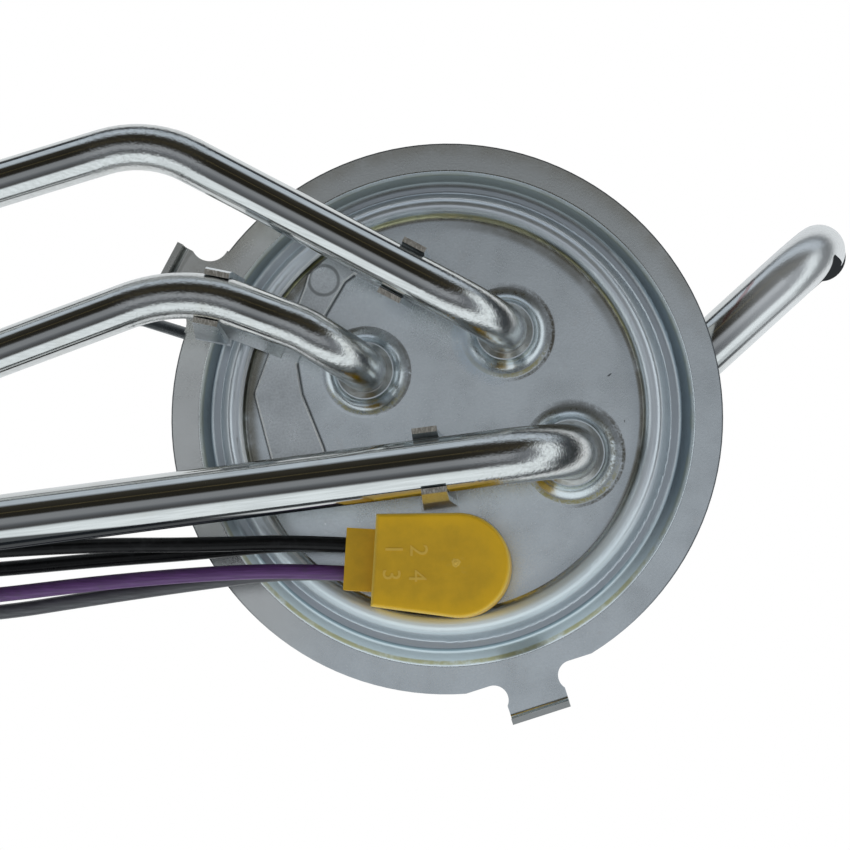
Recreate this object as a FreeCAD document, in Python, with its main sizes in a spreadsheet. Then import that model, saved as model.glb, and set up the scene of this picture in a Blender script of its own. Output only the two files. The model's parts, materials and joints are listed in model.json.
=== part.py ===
import FreeCAD, Part
import math
import os

import Sketcher

from FreeCAD import Placement, Rotation, Vector

# Fuel pump hanger: a stamped round cover plate with three brazed tubes, the
# spring bracket that clips the tubes down, the electrical pass-through with
# its right-angle connector and leads, and below the plate the pump's hanger
# bracket and the level sender with its float arm.
#
# Frame: millimetres, +Z up and out of the tank. The origin is the centre of
# the cover plate, on the upper face of its flat outer ring. The tubes leave
# towards -X. The sender and the hanger bracket are built in a frame of their
# own, whose origin is above the float arm's pivot and whose -X axis is the
# way the arm points.

SIZES = (
    ("rim_radius", 49.0, "outer radius of the cover plate"),
    ("plate_thick", 1.1, "sheet thickness of the cover plate"),
    ("disc_height", 7.6, "upper face of the inner disc"),
    ("crest_rise", 1.8, "height of the bead round the disc, above the disc"),
    ("crest_radius", 36.8, "radius to the middle of the bead"),
    ("flank_deg", 66.0, "slope of the bead's inner side"),
    ("wall_deg", 74.0, "slope of the wall outside the bead"),
    ("ledge_height", 3.2, "upper face of the narrow ledge"),
    ("ledge_width", 1.7, "width of the ledge"),
    ("step_deg", 50.0, "slope of the step down to the outer ring"),
    ("press_radius", 0.4, "inside radius of the pressed bends"),
    ("foot_radius", 0.8, "inside radius at the foot of the bead"),
    ("collar_fillet", 3.0, "outside radius at the foot of each drawn collar"),
    ("collar_land", 0.5, "straight height of a collar above its fillet"),
    ("collar_margin", 0.4, "flat margin round each collar's foot"),
    ("braze_height", 0.8, "height of the braze fillet on each collar"),
    ("braze_gap", 0.02, "radial gap that the braze fills"),
    ("tab_width", 10.6, "width of the two locking tabs"),
    ("front_tab_deg", -72.1, "direction of the front tab"),
    ("front_tab_reach", 6.3, "rim to the outer face of the front tab's lip"),
    ("side_tab_deg", 152.2, "direction of the side tab"),
    ("side_tab_reach", 7.6, "rim to the outer face of the side tab's lip"),
    ("tab_lip", 4.0, "height of the lips above the outer ring"),
    ("front_relief_radius", 2.6, "radius of the relief cuts beside the front tab"),
    ("front_relief_foot", 1.4, "depth into the rim of the relief cuts beside the front tab"),
    ("front_relief_run", 5.0, "length of the front tab's relief along the rim"),
    ("side_relief_radius", 3.5, "radius of the relief cuts beside the side tab"),
    ("side_relief_foot", 0.4, "depth into the rim of the relief cuts beside the side tab"),
    ("side_relief_run", 0.0, "length of the side tab's relief along the rim"),
    ("relief_bite", 0.6, "how far a relief cut narrows its tab's root"),
    ("small_tube_radius", 3.97, "outer radius of the return and vent tubes"),
    ("large_tube_radius", 4.76, "outer radius of the supply tube"),
    ("tube_wall", 0.9, "wall of the tubes"),
    ("tube_end_x", -106.0, "where the three tubes end"),
    ("bead_rise", 0.85, "height of the hose bead on a tube's end"),
    ("bead_setback", 18.0, "distance from a tube's end to its bead"),
    ("spigot_step", 0.07, "how much smaller a tube's hose end is in radius"),
    ("return_x", 10.7, "return collar"),
    ("return_y", 14.4, "return collar"),
    ("return_height", 24.0, "axis of the return tube over the plate"),
    ("return_corner_x", -50.3, "bend of the return tube"),
    ("return_corner_y", 46.6, "bend of the return tube"),
    ("return_lead_deg", 16.8, "slope of the return tube towards its end"),
    ("return_corner_radius", 20.0, "radius of that bend"),
    ("return_depth", -58.0, "lower end of the return tube"),
    ("vent_x", -13.8, "vent collar"),
    ("vent_y", 7.5, "vent collar"),
    ("vent_height", 24.0, "axis of the vent tube over the plate"),
    ("vent_knee_x", -23.6, "gentle bend of the vent tube"),
    ("vent_knee_y", 13.5, "gentle bend of the vent tube"),
    ("vent_corner_x", -44.1, "bend of the vent tube"),
    ("vent_corner_y", 21.2, "bend of the vent tube"),
    ("vent_lead_deg", 20.3, "slope of the vent tube towards its end"),
    ("vent_corner_radius", 27.0, "radius of that bend"),
    ("vent_knee_radius", 19.0, "radius of the gentle bend"),
    ("vent_depth", -14.0, "lower end of the vent tube"),
    ("supply_x", 22.2, "supply collar"),
    ("supply_y", -6.95, "supply collar"),
    ("supply_height", 25.5, "axis of the supply tube over the plate"),
    ("supply_lead_deg", 7.4, "slope of the supply tube towards its end"),
    ("supply_depth", -13.0, "axis of the supply tube's run under the plate"),
    ("outlet_deg", 37.6, "direction of that run under the plate"),
    ("outlet_knee", 20.7, "length of that run under the plate"),
    ("outlet_far_deg", 42.3, "direction of the run past the plate"),
    ("outlet_reach", 38.2, "length of the run past the plate"),
    ("outlet_lean_deg", 6.4, "lean of the turned-down end"),
    ("outlet_lean_way", 46.0, "direction of that lean"),
    ("outlet_leg", 42.0, "length of the turned-down end"),
    ("small_bend", 11.0, "bend radius of the return tube over its collar"),
    ("vent_bend", 9.2, "bend radius of the vent tube over its collar"),
    ("large_bend", 12.5, "bend radius of the supply tube"),
    ("outlet_knee_bend", 30.0, "bend radius of its run under the plate"),
    ("outlet_bend", 10.0, "bend radius of its turned-down end"),
    ("clip_thick", 1.2, "sheet thickness of the tube bracket"),
    ("finger_thick", 0.95, "thickness of a finger, thinned by its bend"),
    ("finger_root", 6.0, "width of a finger at its root"),
    ("finger_tip", 4.3, "width of a finger at its tip"),
    ("broken_edge", 0.2, "chamfer along the tube bracket's upper edges"),
    ("bracket_reach", 34.3, "radius that the flat of the tube bracket keeps to"),
    ("arm_half", 3.4, "half the width of an arm under a tube"),
    ("vent_arm_half", 5.2, "half the width of the arm under the vent tube"),
    ("vent_clip_turn", 9.0, "turn of the vent tube's fingers along its bend"),
    ("vent_clip_shift", 0.38, "sideways place of the vent tube's fingers"),
    ("weld_radius", 2.6, "radius of a spot weld's mark"),
    ("weld_depth", 0.15, "depth of a spot weld's mark"),
    ("port_x", 3.05, "axis of the electrical pass-through"),
    ("port_y", -25.6, "axis of the electrical pass-through"),
    ("port_radius", 6.9, "radius of the pass-through in the plate"),
    ("port_gap", 0.05, "radial gap round the pass-through"),
    ("port_flange", 2.2, "width of the pass-through's flange"),
    ("port_flange_thick", 2.0, "thickness of that flange"),
    ("port_rise", 5.6, "height of the pass-through above the disc"),
    ("port_drop", 5.0, "length of the pass-through below its flange"),
    ("port_seal_thick", 1.0, "thickness of the seal on the pass-through"),
    ("retainer_thick", 0.6, "thickness of the push-on retainer"),
    ("pin_radius", 0.8, "radius of a contact pin"),
    ("pin_pitch", 4.6, "distance between neighbouring pins"),
    ("pin_up", 4.2, "length of a pin above the pass-through"),
    ("pin_down", 6.0, "length of a pin below the pass-through"),
    ("plug_round_radius", 8.9, "round end of the right-angle connector"),
    ("plug_base_half", 7.9, "half the width of its flat end"),
    ("plug_reach", 14.4, "flat end to the centre of the round end"),
    ("plug_deg", -3.4, "turn of the connector about the pass-through"),
    ("plug_shift", -1.15, "round end's centre from the pass-through's axis"),
    ("plug_base_height", 9.2, "lower face of the connector"),
    ("plug_top_height", 24.0, "upper face of the connector"),
    ("plug_edge", 0.7, "edge radius of the connector"),
    ("plug_gap", 0.15, "gap between the connector and the pass-through"),
    ("neck_length", 5.1, "length of the connector's neck"),
    ("neck_half", 5.35, "half the width of the neck"),
    ("neck_low", 12.2, "lower face of the neck"),
    ("neck_high", 20.2, "upper face of the neck"),
    ("lead_radius", 1.3, "radius of a lead"),
    ("lead_seat", 2.0, "depth of a lead's hole in the neck"),
    ("lead_gap", 0.1, "gap round a lead in its hole"),
    ("lead_half_y", 2.45, "half the distance between two leads in a row"),
    ("lead_half_z", 1.7, "half the distance between the two rows of leads"),
    ("lead_bend_widest", 240.0, "widest bend of a lead"),
    ("lead_straight", 9.0, "straight start of a lead outside the neck"),
    ("socket_wall", 0.45, "wall of a socket contact"),
    ("socket_length", 5.6, "length of a socket contact"),
    ("tail_plug_half_x", 6.0, "half the size of the harness plug along X"),
    ("tail_plug_half_y", 6.4, "half the size of the harness plug along Y"),
    ("tail_plug_length", 22.0, "length of the harness plug"),
    ("tail_seal_thick", 3.0, "thickness of the harness plug's wire seal"),
    ("tail_plug_x", -113.0, "middle of the harness plug"),
    ("tail_plug_y", -30.2, "middle of the harness plug"),
    ("tail_plug_top", -82.0, "upper face of the harness plug's seal"),
    ("tail_pitch", 4.5, "distance between neighbouring ways of the harness plug"),
    ("pivot_x", -23.4, "float arm pivot"),
    ("pivot_y", 11.2, "float arm pivot"),
    ("pivot_z", -60.0, "float arm pivot"),
    ("arm_plan_deg", -20.0, "turn of the sender's frame about Z"),
    ("arm_drop_deg", 40.0, "slope of the arm below level at its lower stop"),
    ("arm_wire", 1.25, "radius of the float arm's wire"),
    ("arm_bend", 4.0, "bend radius of the float arm's wire"),
    ("arm_first", 62.0, "length of the arm's first run"),
    ("arm_second", 70.0, "length of the arm's second run"),
    ("arm_knee_deg", 25.6, "turn of the arm's knee"),
    ("float_radius", 9.5, "radius of the float"),
    ("float_length", 36.0, "length of the float"),
    ("float_gap", 0.05, "radial gap between the float and its wire"),
    ("shaft_gap", 0.06, "running gap round the pivot"),
    ("web_thick", 1.5, "sheet thickness of the hanger bracket"),
    ("hanger_deg", 40.3, "direction of the bracket under the plate"),
    ("web_x", 12.0, "face of the bracket's web, in its own frame"),
    ("web_edge", -12.5, "free edge of the web, in its own frame"),
    ("web_bend", 1.6, "inside bend radius of the bracket"),
    ("web_rib", 8.0, "depth of the rib along the web's free edge"),
    ("weld_foot", 12.0, "length of the bracket's welded foot"),
    ("weld_foot_edge", 6.0, "edge of the welded foot, in the bracket's frame"),
    ("foot_depth", -176.0, "upper face of the bracket's lower foot"),
    ("wing_reach", 21.0, "wing of the bracket past the pivot"),
    ("pump_radius", 19.0, "radius of the pump that hangs here"),
    ("seat_wall", 2.4, "rubber round the pump's end"),
    ("seat_hole", 7.0, "hole for the pump's inlet"),
    ("seat_floor", 2.0, "rubber under the pump's end"),
    ("seat_depth", 6.0, "depth of the rubber seat"),
    ("case_front", 6.0, "arm's plane to the front of the sender's case"),
    ("case_width", 36.0, "width of the sender's case"),
    ("case_height", 32.0, "height of the sender's case"),
    ("case_depth", 7.0, "depth of the sender's case"),
    ("case_wall", 1.6, "wall of the sender's case"),
    ("lid_thick", 1.0, "thickness of the sender's lid"),
    ("ear_height", 7.0, "height of each ear of the case"),
    ("ear_half", 4.5, "half the width of an ear"),
    ("ear_thick", 2.0, "thickness of an ear"),
    ("stop_radius", 1.5, "radius of a stop peg"),
    ("stop_reach", 14.0, "pivot to a stop peg"),
    ("stop_gap", 0.3, "gap between the arm and a stop peg"),
    ("arm_swing_deg", 50.0, "swing of the arm between its stops"),
    ("blade_width", 4.0, "width of a sender terminal"),
    ("blade_thick", 0.8, "thickness of a sender terminal"),
    ("blade_length", 9.0, "length of a sender terminal"),
    ("blade_x", 6.0, "centre of a sender terminal"),
    ("rivet_radius", 1.6, "radius of a rivet"),
    ("rivet_head", 2.8, "radius of a rivet's head"),
    ("card_width", 22.0, "width of the resistor card"),
    ("card_height", 9.0, "height of the resistor card"),
    ("card_thick", 0.8, "thickness of the resistor card"),
    ("wiper_length", 11.0, "pivot to the wiper's tip"),
    ("wiper_thick", 0.5, "thickness of the wiper"),
    ("card_top", 10.8, "case's lower edge to the upper edge of the resistor card"),
    ("hub_radius", 3.0, "radius of the wiper's hub"),
    ("hub_length", 2.4, "length of the wiper's hub"),
    ("wiper_gap", 0.3, "gap between the wiper and the card"),
    ("clip_ring", 3.0, "radius of a float retainer"),
    ("clip_ring_thick", 0.8, "thickness of a float retainer"),
    ("shaft_end", 12.6, "end of the arm's shaft, from the arm's plane"),
)

# Where each lead leaves the connector and meets the harness plug, as signs
# along the plug's width and height, and its free corners in between.
LEADS = {
    "lead_black_upper": (1, 1, (
        (-42.0, -23.2, 18.2), (-60.0, -23.2, 18.6), (-80.0, -24.3, 18.0), (-102.0, -26.0, 13.4),
        (-114.2, -27.2, -4.0), (-116.4, -28.6, -29.0), (-115.9, -28.6, -56.0))),
    "lead_purple": (-1, 1, (
        (-42.0, -28.2, 17.8), (-60.0, -29.8, 17.4), (-80.0, -32.2, 16.6), (-102.0, -33.8, 11.8),
        (-114.2, -33.8, -5.0), (-116.6, -33.0, -30.0), (-116.0, -31.8, -57.0))),
    "lead_black_lower": (1, -1, (
        (-42.0, -24.4, 14.8), (-60.0, -25.7, 15.0), (-79.0, -27.5, 14.2), (-98.0, -28.4, 9.0),
        (-109.2, -28.6, -8.0), (-111.6, -28.5, -32.0), (-111.3, -27.6, -57.5))),
    "lead_grey": (-1, -1, (
        (-42.0, -29.6, 14.5), (-60.0, -32.2, 14.0), (-79.0, -35.2, 13.0), (-98.0, -35.6, 7.6),
        (-109.4, -34.6, -9.0), (-111.8, -33.0, -33.0), (-111.4, -31.8, -58.5))),
}

# How far each finger's inner face stands from its tube's axis at its root, at
# the axis's height and at its tip, the tip's height over the axis, and the
# finger's place along the tube. The first of each pair is on the side where
# +Y is to the right of the way to the tube's end.
FINGERS = {
    "return": ((3.6, 4.1, 4.35, 1.6, 19.6), (3.1, 4.05, 4.3, 1.2, 19.4)),
    "vent": ((4.6, 4.15, 3.66, 2.0, 16.3), (5.6, 4.1, 3.85, 1.6, 16.6)),
    "supply": ((4.6, 4.95, 5.7, 1.6, 24.2), (5.55, 5.22, 3.84, 3.4, 23.8)),
}

UP = Vector(0, 0, 1)

doc = FreeCAD.newDocument("FuelPumpHanger")
sheet = doc.addObject("Spreadsheet::Sheet", "Sizes")
for row, (alias, number, meaning) in enumerate(SIZES, start=1):
    sheet.set(f"A{row}", alias)
    sheet.set(f"B{row}", str(number))
    sheet.set(f"C{row}", meaning)
    sheet.setAlias(f"B{row}", alias)
doc.recompute()


def size(alias):
    """A driving dimension, read from the sheet."""
    return float(sheet.get(alias))


def tan_deg(angle):
    return math.tan(math.radians(angle))


def at_angle(radius, degrees):
    """A point in plan, at a radius and a direction."""
    turn = math.radians(degrees)
    return Vector(radius * math.cos(turn), radius * math.sin(turn), 0)


# Shapes from lines and tangent arcs

def tangent_arc(before, at, after, radius):
    """The start, middle and end of the arc that rounds one corner."""
    back = (before - at).normalize()
    onward = (after - at).normalize()
    half = back.getAngle(onward) / 2
    reach = radius / math.tan(half)
    centre = at + (back + onward).normalize() * (radius / math.sin(half))
    middle = centre + (at - centre).normalize() * radius
    return at + back * reach, middle, at + onward * reach


def rounded_face(corners):
    """A flat face from (point, radius) corners; a radius of 0 is a sharp corner."""
    count = len(corners)
    stops = []
    for index, (at, radius) in enumerate(corners):
        if radius > 0:
            before = corners[index - 1][0]
            after = corners[(index + 1) % count][0]
            stops.append(tangent_arc(before, at, after, radius))
        else:
            stops.append((at, None, at))
    edges = []
    for index, (start, middle, end) in enumerate(stops):
        if middle is not None:
            edges.append(Part.Arc(start, middle, end).toShape())
        following = stops[(index + 1) % count][0]
        if end.distanceToPoint(following) > 1e-6:
            edges.append(Part.makeLine(end, following))
    return Part.Face(Part.Wire(edges))


def offset_point(before, at, after, thick):
    """One corner of a bent sheet's other side, thick to the right of the way along it, in XZ."""
    sides = []
    for start, end in ((before, at), (at, after)):
        if start is not None and end is not None:
            along = (end - start).normalize()
            sides.append(Vector(along.z, 0, -along.x))
    if len(sides) == 1:
        return at + sides[0] * thick
    middle = (sides[0] + sides[1]).normalize()
    return at + middle * (thick / middle.dot(sides[0]))


def sheet_section(points, insides, thick):
    """The section of a bent sheet in XZ: its upper side's points, and the inside radius at each bend."""
    upper = [Vector(x, 0, z) for x, z in points]
    padded = [None] + upper + [None]
    lower = [offset_point(*padded[i:i + 3], thick) for i in range(len(upper))]
    front, back = [(upper[0], 0)], [(lower[0], 0)]
    for index, inside in enumerate(insides, start=1):
        before, at, after = upper[index - 1:index + 2]
        turns_up = (at - before).cross(after - at).y < 0
        front.append((upper[index], inside if turns_up else inside + thick))
        back.append((lower[index], inside + thick if turns_up else inside))
    front.append((upper[-1], 0))
    back.append((lower[-1], 0))
    return rounded_face(front + back[::-1])


def turned(face):
    """A face in XZ turned once round Z."""
    return face.revolve(Vector(0, 0, 0), UP, 360)


def cylinder(radius, low, high, x=0.0, y=0.0):
    return Part.makeCylinder(radius, high - low, Vector(x, y, low))


def block(x_range, y_range, z_range):
    """A box between the given limits."""
    low = Vector(x_range[0], y_range[0], z_range[0])
    high = Vector(x_range[1], y_range[1], z_range[1])
    span = high - low
    return Part.makeBox(span.x, span.y, span.z, low)


def slab(points, low, high):
    """A plate of the given outline in plan, its upper edge broken."""
    face = rounded_face([(Vector(x, y, low), radius) for x, y, radius in points])
    plate = face.extrude(UP * (high - low))
    rim = [edge for edge in plate.Edges if edge.BoundBox.ZMin > high - 0.01]
    return plate.makeChamfer(size("broken_edge"), rim)


def fused(shapes):
    """Several solids as one, without the edges where they met."""
    whole = shapes[0].multiFuse(list(shapes[1:]))
    return whole.removeSplitter()


def bent_round(points, radii, radius):
    """A round bar along straight runs joined by arcs: the solid and its length."""
    stops = [(points[0], None, points[0])]
    for index, bend in enumerate(radii, start=1):
        stops.append(tangent_arc(*points[index - 1:index + 2], bend))
    stops.append((points[-1], None, points[-1]))
    pieces, length = [], 0.0
    for index, (start, middle, end) in enumerate(stops[:-1]):
        if middle is not None:
            arc = Part.Arc(start, middle, end)
            curve = arc.toShape().Curve
            swept = arc.LastParameter - arc.FirstParameter
            incoming = (points[index] - points[index - 1]).normalize()
            section = round_section(start, incoming, radius)
            pieces.append(section.revolve(curve.Center, curve.Axis, math.degrees(swept)))
            length += curve.Radius * swept
        along = stops[index + 1][0] - end
        pieces.append(round_section(end, along, radius).extrude(along))
        length += along.Length
    return fused(pieces), length


def round_section(at, along, radius):
    """A disc square to a direction."""
    return Part.Face(Part.Wire(Part.makeCircle(radius, at, along)))


def hose_bead(end, inward, radius):
    """The raised bead that keeps a hose on a tube's end."""
    along = Vector(inward).normalize()
    return Part.makeTorus(radius, size("bead_rise"), end + along * size("bead_setback"), along)


parts = []


def keep(label, shape, placement=None):
    """Adds one sub-part whose shape is worked out from the sheet."""
    made = doc.addObject("Part::Feature", label)
    made.Label = label
    made.Shape = shape
    if placement is not None:
        made.Placement = placement
    parts.append(made)
    return made


# Where the three tubes go

COLLARS = {
    "return": (Vector(size("return_x"), size("return_y"), 0), size("small_tube_radius")),
    "vent": (Vector(size("vent_x"), size("vent_y"), 0), size("small_tube_radius")),
    "supply": (Vector(size("supply_x"), size("supply_y"), 0), size("large_tube_radius")),
}


def collar_height():
    """Upper end of the drawn collars."""
    return size("disc_height") + size("collar_fillet") + size("collar_land")


def bore_of(tube_radius):
    """Bore of a collar for a tube."""
    return tube_radius + size("braze_gap")


def tube_end(corner, slope):
    """A tube's end, past its last bend, at the common end plane."""
    run = corner.x - size("tube_end_x")
    return Vector(size("tube_end_x"), corner.y - run * tan_deg(slope), corner.z)


def return_points():
    at, _ = COLLARS["return"]
    corner = Vector(size("return_corner_x"), size("return_corner_y"), size("return_height"))
    return [
        tube_end(corner, size("return_lead_deg")),
        corner,
        at + UP * size("return_height"),
        at + UP * size("return_depth"),
    ]


def vent_points():
    at, _ = COLLARS["vent"]
    level = UP * size("vent_height")
    corner = Vector(size("vent_corner_x"), size("vent_corner_y"), 0) + level
    knee = Vector(size("vent_knee_x"), size("vent_knee_y"), 0) + level
    end = tube_end(corner, size("vent_lead_deg"))
    return [end, corner, knee, at + level, at + UP * size("vent_depth")]


def supply_points():
    at, _ = COLLARS["supply"]
    top = at + UP * size("supply_height")
    low = at + UP * size("supply_depth")
    knee = low + at_angle(size("outlet_knee"), size("outlet_deg"))
    turn = knee + at_angle(size("outlet_reach"), size("outlet_far_deg"))
    lean = math.radians(size("outlet_lean_deg"))
    leg = at_angle(math.sin(lean), size("outlet_lean_way")) - UP * math.cos(lean)
    return [
        tube_end(top, size("supply_lead_deg")),
        top,
        low,
        knee,
        turn,
        turn + leg * size("outlet_leg"),
    ]


# Cover plate

def cover_profile():
    """The pressed section of the cover plate, from its centre to its rim."""
    thick, press = size("plate_thick"), size("press_radius")
    disc, ledge = size("disc_height"), size("ledge_height")
    crest = disc + size("crest_rise")
    half_turns = tan_deg(size("flank_deg") / 2) + tan_deg(size("wall_deg") / 2)
    crest_half = (thick + press) * half_turns / 2 + 0.02
    crest_in = size("crest_radius") - crest_half
    crest_out = size("crest_radius") + crest_half
    disc_foot = crest_in - size("crest_rise") / tan_deg(size("flank_deg"))
    ledge_in = crest_out + (crest - ledge) / tan_deg(size("wall_deg"))
    ledge_out = ledge_in + size("ledge_width")
    step_foot = ledge_out + ledge / tan_deg(size("step_deg"))
    points = [
        (0, disc), (disc_foot, disc), (crest_in, crest), (crest_out, crest),
        (ledge_in, ledge), (ledge_out, ledge), (step_foot, 0), (size("rim_radius"), 0),
    ]
    insides = [size("foot_radius"), press, press, press, press, press]
    return sheet_section(points, insides, thick)


def collar(at, tube_radius):
    """A drawn collar, and the opening that it fills in the disc."""
    thick = size("plate_thick")
    neck = bore_of(tube_radius) + thick
    foot = neck + size("collar_fillet") + size("collar_margin")
    disc = size("disc_height")
    points = [(foot, disc), (neck, disc), (neck, collar_height())]
    upper = [Vector(x, 0, z) for x, z in points]
    lower = [upper[0] - UP * thick, Vector(neck - thick, 0, disc - thick),
             Vector(neck - thick, 0, collar_height())]
    fillet = size("collar_fillet")
    corners = [(upper[0], 0), (upper[1], fillet), (upper[2], 0),
               (lower[2], 0), (lower[1], fillet + thick), (lower[0], 0)]
    shape = turned(rounded_face(corners))
    opening = cylinder(foot, disc - 2 * thick, disc + thick)
    shape.translate(at)
    opening.translate(at)
    return shape, opening


def tab(name):
    """A locking tab with its upturned lip, and the two relief cuts beside it."""
    thick = size("plate_thick")
    half = size("tab_width") / 2
    rim = size("rim_radius")
    lip_face = rim + size(f"{name}_tab_reach") - thick
    radius = size(f"{name}_relief_radius")
    foot = rim - size(f"{name}_relief_foot")
    run = size(f"{name}_relief_run")
    section = sheet_section(
        [(rim - 4, 0), (lip_face, 0), (lip_face, size("tab_lip"))],
        [size("foot_radius")], thick)
    section.translate(Vector(0, -half, 0))
    shape = section.extrude(Vector(0, 2 * half, 0))
    near = half + radius - size("relief_bite")
    root = block((rim - 4, foot + radius), (-near, near), (-thick, 0))
    cuts = []
    for side in (-1, 1):
        cut = cylinder(radius, -2 * thick, thick, foot + radius, side * near)
        if run > 0:
            far = near + run
            end = cylinder(radius, -2 * thick, thick, foot + radius, side * far)
            band = block((foot, foot + 3 * radius), sorted((side * near, side * far)),
                         (-2 * thick, thick))
            cut = fused([cut, end, band])
        cuts.append(cut)
    turn = Rotation(UP, size(f"{name}_tab_deg"))
    shape = fused([shape, root])
    for made in [shape] + cuts:
        made.Placement = Placement(Vector(0, 0, 0), turn)
    return shape, cuts


def cover_plate():
    """The pressed cover plate: one sheet with its bead, collars, tabs and port."""
    sheet_metal = turned(cover_profile())
    added, removed = [], []
    for at, tube_radius in COLLARS.values():
        neck, opening = collar(at, tube_radius)
        added.append(neck)
        removed.append(opening)
    disc, thick = size("disc_height"), size("plate_thick")
    port = size("port_radius") + size("port_gap")
    removed.append(cylinder(port, disc - 2 * thick, disc + thick, size("port_x"), size("port_y")))
    tongues = []
    for name in ("front", "side"):
        tongue, cuts = tab(name)
        tongues.append(tongue.cut(cuts))
        removed += cuts
    cut = sheet_metal.cut(removed)
    return fused([cut] + added + tongues)


keep("cover_plate", cover_plate())


# Tubes and their braze fillets

def tube(points, radii, radius):
    """A bent tube whose outer end is a hose spigot with a stop bead."""
    shape, _ = bent_round(points, radii, radius)
    bore, _ = bent_round(points, radii, radius - size("tube_wall"))
    inward = points[1] - points[0]
    skin = radius + 1
    sleeve = Part.makeCylinder(skin, size("bead_setback"), points[0], inward)
    spigot = Part.makeCylinder(
        radius - size("spigot_step"), size("bead_setback"), points[0], inward)
    body = shape.cut(sleeve.cut(spigot))
    return fused([body, hose_bead(points[0], inward, radius)]).cut(bore)


small, large = size("small_tube_radius"), size("large_tube_radius")
keep("return_tube", tube(
    return_points(), [size("return_corner_radius"), size("small_bend")], small))
keep("vent_tube", tube(
    vent_points(),
    [size("vent_corner_radius"), size("vent_knee_radius"), size("vent_bend")], small))
keep("supply_tube", tube(
    supply_points(),
    [size("large_bend"), size("large_bend"), size("outlet_knee_bend"), size("outlet_bend")], large))

fillets = []
for at, tube_radius in COLLARS.values():
    low = collar_height()
    foot = bore_of(tube_radius) + size("plate_thick") * 0.8
    cone = Part.makeCone(foot, tube_radius + 0.1, size("braze_height"), at + UP * low)
    fillets.append(cone.cut(cylinder(tube_radius, low - 1, low + 5, at.x, at.y)))
keep("braze_fillets", Part.makeCompound(fillets))


# Tube bracket

def along_tube(start, end, run):
    """A place at a distance along a tube's plan line, as a placement with X along the tube."""
    way = Vector(end.x - start.x, end.y - start.y, 0)
    turn = math.degrees(math.atan2(way.y, way.x))
    way.normalize()
    return Placement(Vector(start.x, start.y, 0) + way * run, Rotation(UP, turn))


def finger(side, axis, base, shape):
    """One upturned finger, narrower at its tip, in the tube's own frame."""
    at_root, at_axis, at_tip, rise, along = shape
    thick = size("finger_thick")
    top = axis + rise
    inner = [(at_root, base), (at_axis, axis), (at_tip, top)]
    outer = [(y + thick, z) for y, z in reversed(inner)]
    root, tip = size("finger_root") / 2, size("finger_tip") / 2
    corners = [(Vector(along - root, side * y, z), 0) for y, z in inner + outer]
    strip = rounded_face(corners).extrude(Vector(2 * root, 0, 0))
    front = [(along - root, base), (along + root, base), (along + tip, top), (along - tip, top)]
    taper = rounded_face([(Vector(x, 0, z), 0) for x, z in front])
    return strip.common(taper.extrude(Vector(0, side * 20, 0)))


def grip(name, where, axis, base):
    """A pair of fingers on their pad."""
    pair = FINGERS[name]
    fingers = [finger(side, axis, base, shape) for side, shape in zip((-1, 1), pair)]
    root = size("finger_root") / 2
    places = [shape[4] for shape in pair]
    low, high = (side * (shape[0] + size("finger_thick")) for side, shape in zip((-1, 1), pair))
    pad = block((min(places) - root, max(places) + root), (low, high),
                (base, base + size("clip_thick")))
    made = fused([pad] + fingers)
    made.Placement = where
    return made


def tube_bracket():
    """The one-piece bracket: two spines between the tubes, three arms and six fingers."""
    base = size("disc_height")
    top = base + size("clip_thick")
    arm = size("arm_half")
    returns, vents, supplies = return_points(), vent_points(), supply_points()
    return_way = along_tube(returns[2], returns[1], 0)
    vent_way = along_tube(vents[2], vents[1], 0)
    supply_way = along_tube(supplies[1], supplies[0], 0)

    spine_a = slab([(-20.9, 27.6, 1), (-23.9, 24.6, 2), (-24.5, 22.4, 3), (-26.6, 17.0, 1),
                    (-22.2, 13.2, 1), (-21.0, 17.4, 3), (-17.5, 23.4, 3), (-14.0, 26.0, 1)],
                   base, top)
    spine_b = slab([(-30.9, 10.4, 1), (-33.3, 3.6, 3), (-30.2, -8.0, 3), (-29.0, -13.2, 1),
                    (-19.4, -12.6, 1), (-21.2, -5.8, 3), (-25.0, 3.6, 3), (-25.9, 8.9, 1),
                    (-23.4, 14.4, 1), (-29.0, 16.4, 1)], base, top)

    # The arms run under the tubes from the spines to the fingers.
    return_arm = block((19.0, 36.5), (-arm, arm), (base, top))
    return_arm.Placement = return_way
    supply_arm = block((23.5, 52.0), (-arm, arm), (base, top))
    supply_arm.Placement = supply_way

    # The vent arm steps over the bead and stands out above the ledge.
    over = base + size("crest_rise") + 0.25
    high = over + size("clip_thick")
    reach = FINGERS["vent"][0][4] + size("finger_root") / 2
    step = sheet_section(
        [(0.5, top), (3.4, top), (6.4, high), (reach, high)], [0.8, 0.8], size("clip_thick"))
    step.translate(Vector(0, -arm, 0))
    vent_arm = step.extrude(Vector(0, arm + size("vent_arm_half"), 0))
    vent_arm.Placement = vent_way

    turned_in = Placement(
        Vector(FINGERS["vent"][0][4], size("vent_clip_shift"), 0), Rotation(UP, size("vent_clip_turn")))
    back = Placement(Vector(-FINGERS["vent"][0][4], 0, 0), Rotation())
    grips = [
        grip("return", return_way, size("return_height"), base),
        grip("vent", vent_way.multiply(turned_in).multiply(back), size("vent_height"), over),
        grip("supply", supply_way, size("supply_height"), base),
    ]
    flat = fused([spine_a, spine_b, return_arm, supply_arm])
    flat = flat.common(cylinder(size("bracket_reach"), base, top, 0, 0))
    body = fused([flat, vent_arm] + grips)
    marks = [cylinder(size("weld_radius"), top - size("weld_depth"), top + 1, x, y)
             for x, y in ((-21.2, 23.6), (-24.4, -10.6))]
    return body.cut(marks)


keep("tube_bracket", tube_bracket())


# Bodies made from sketches

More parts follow.
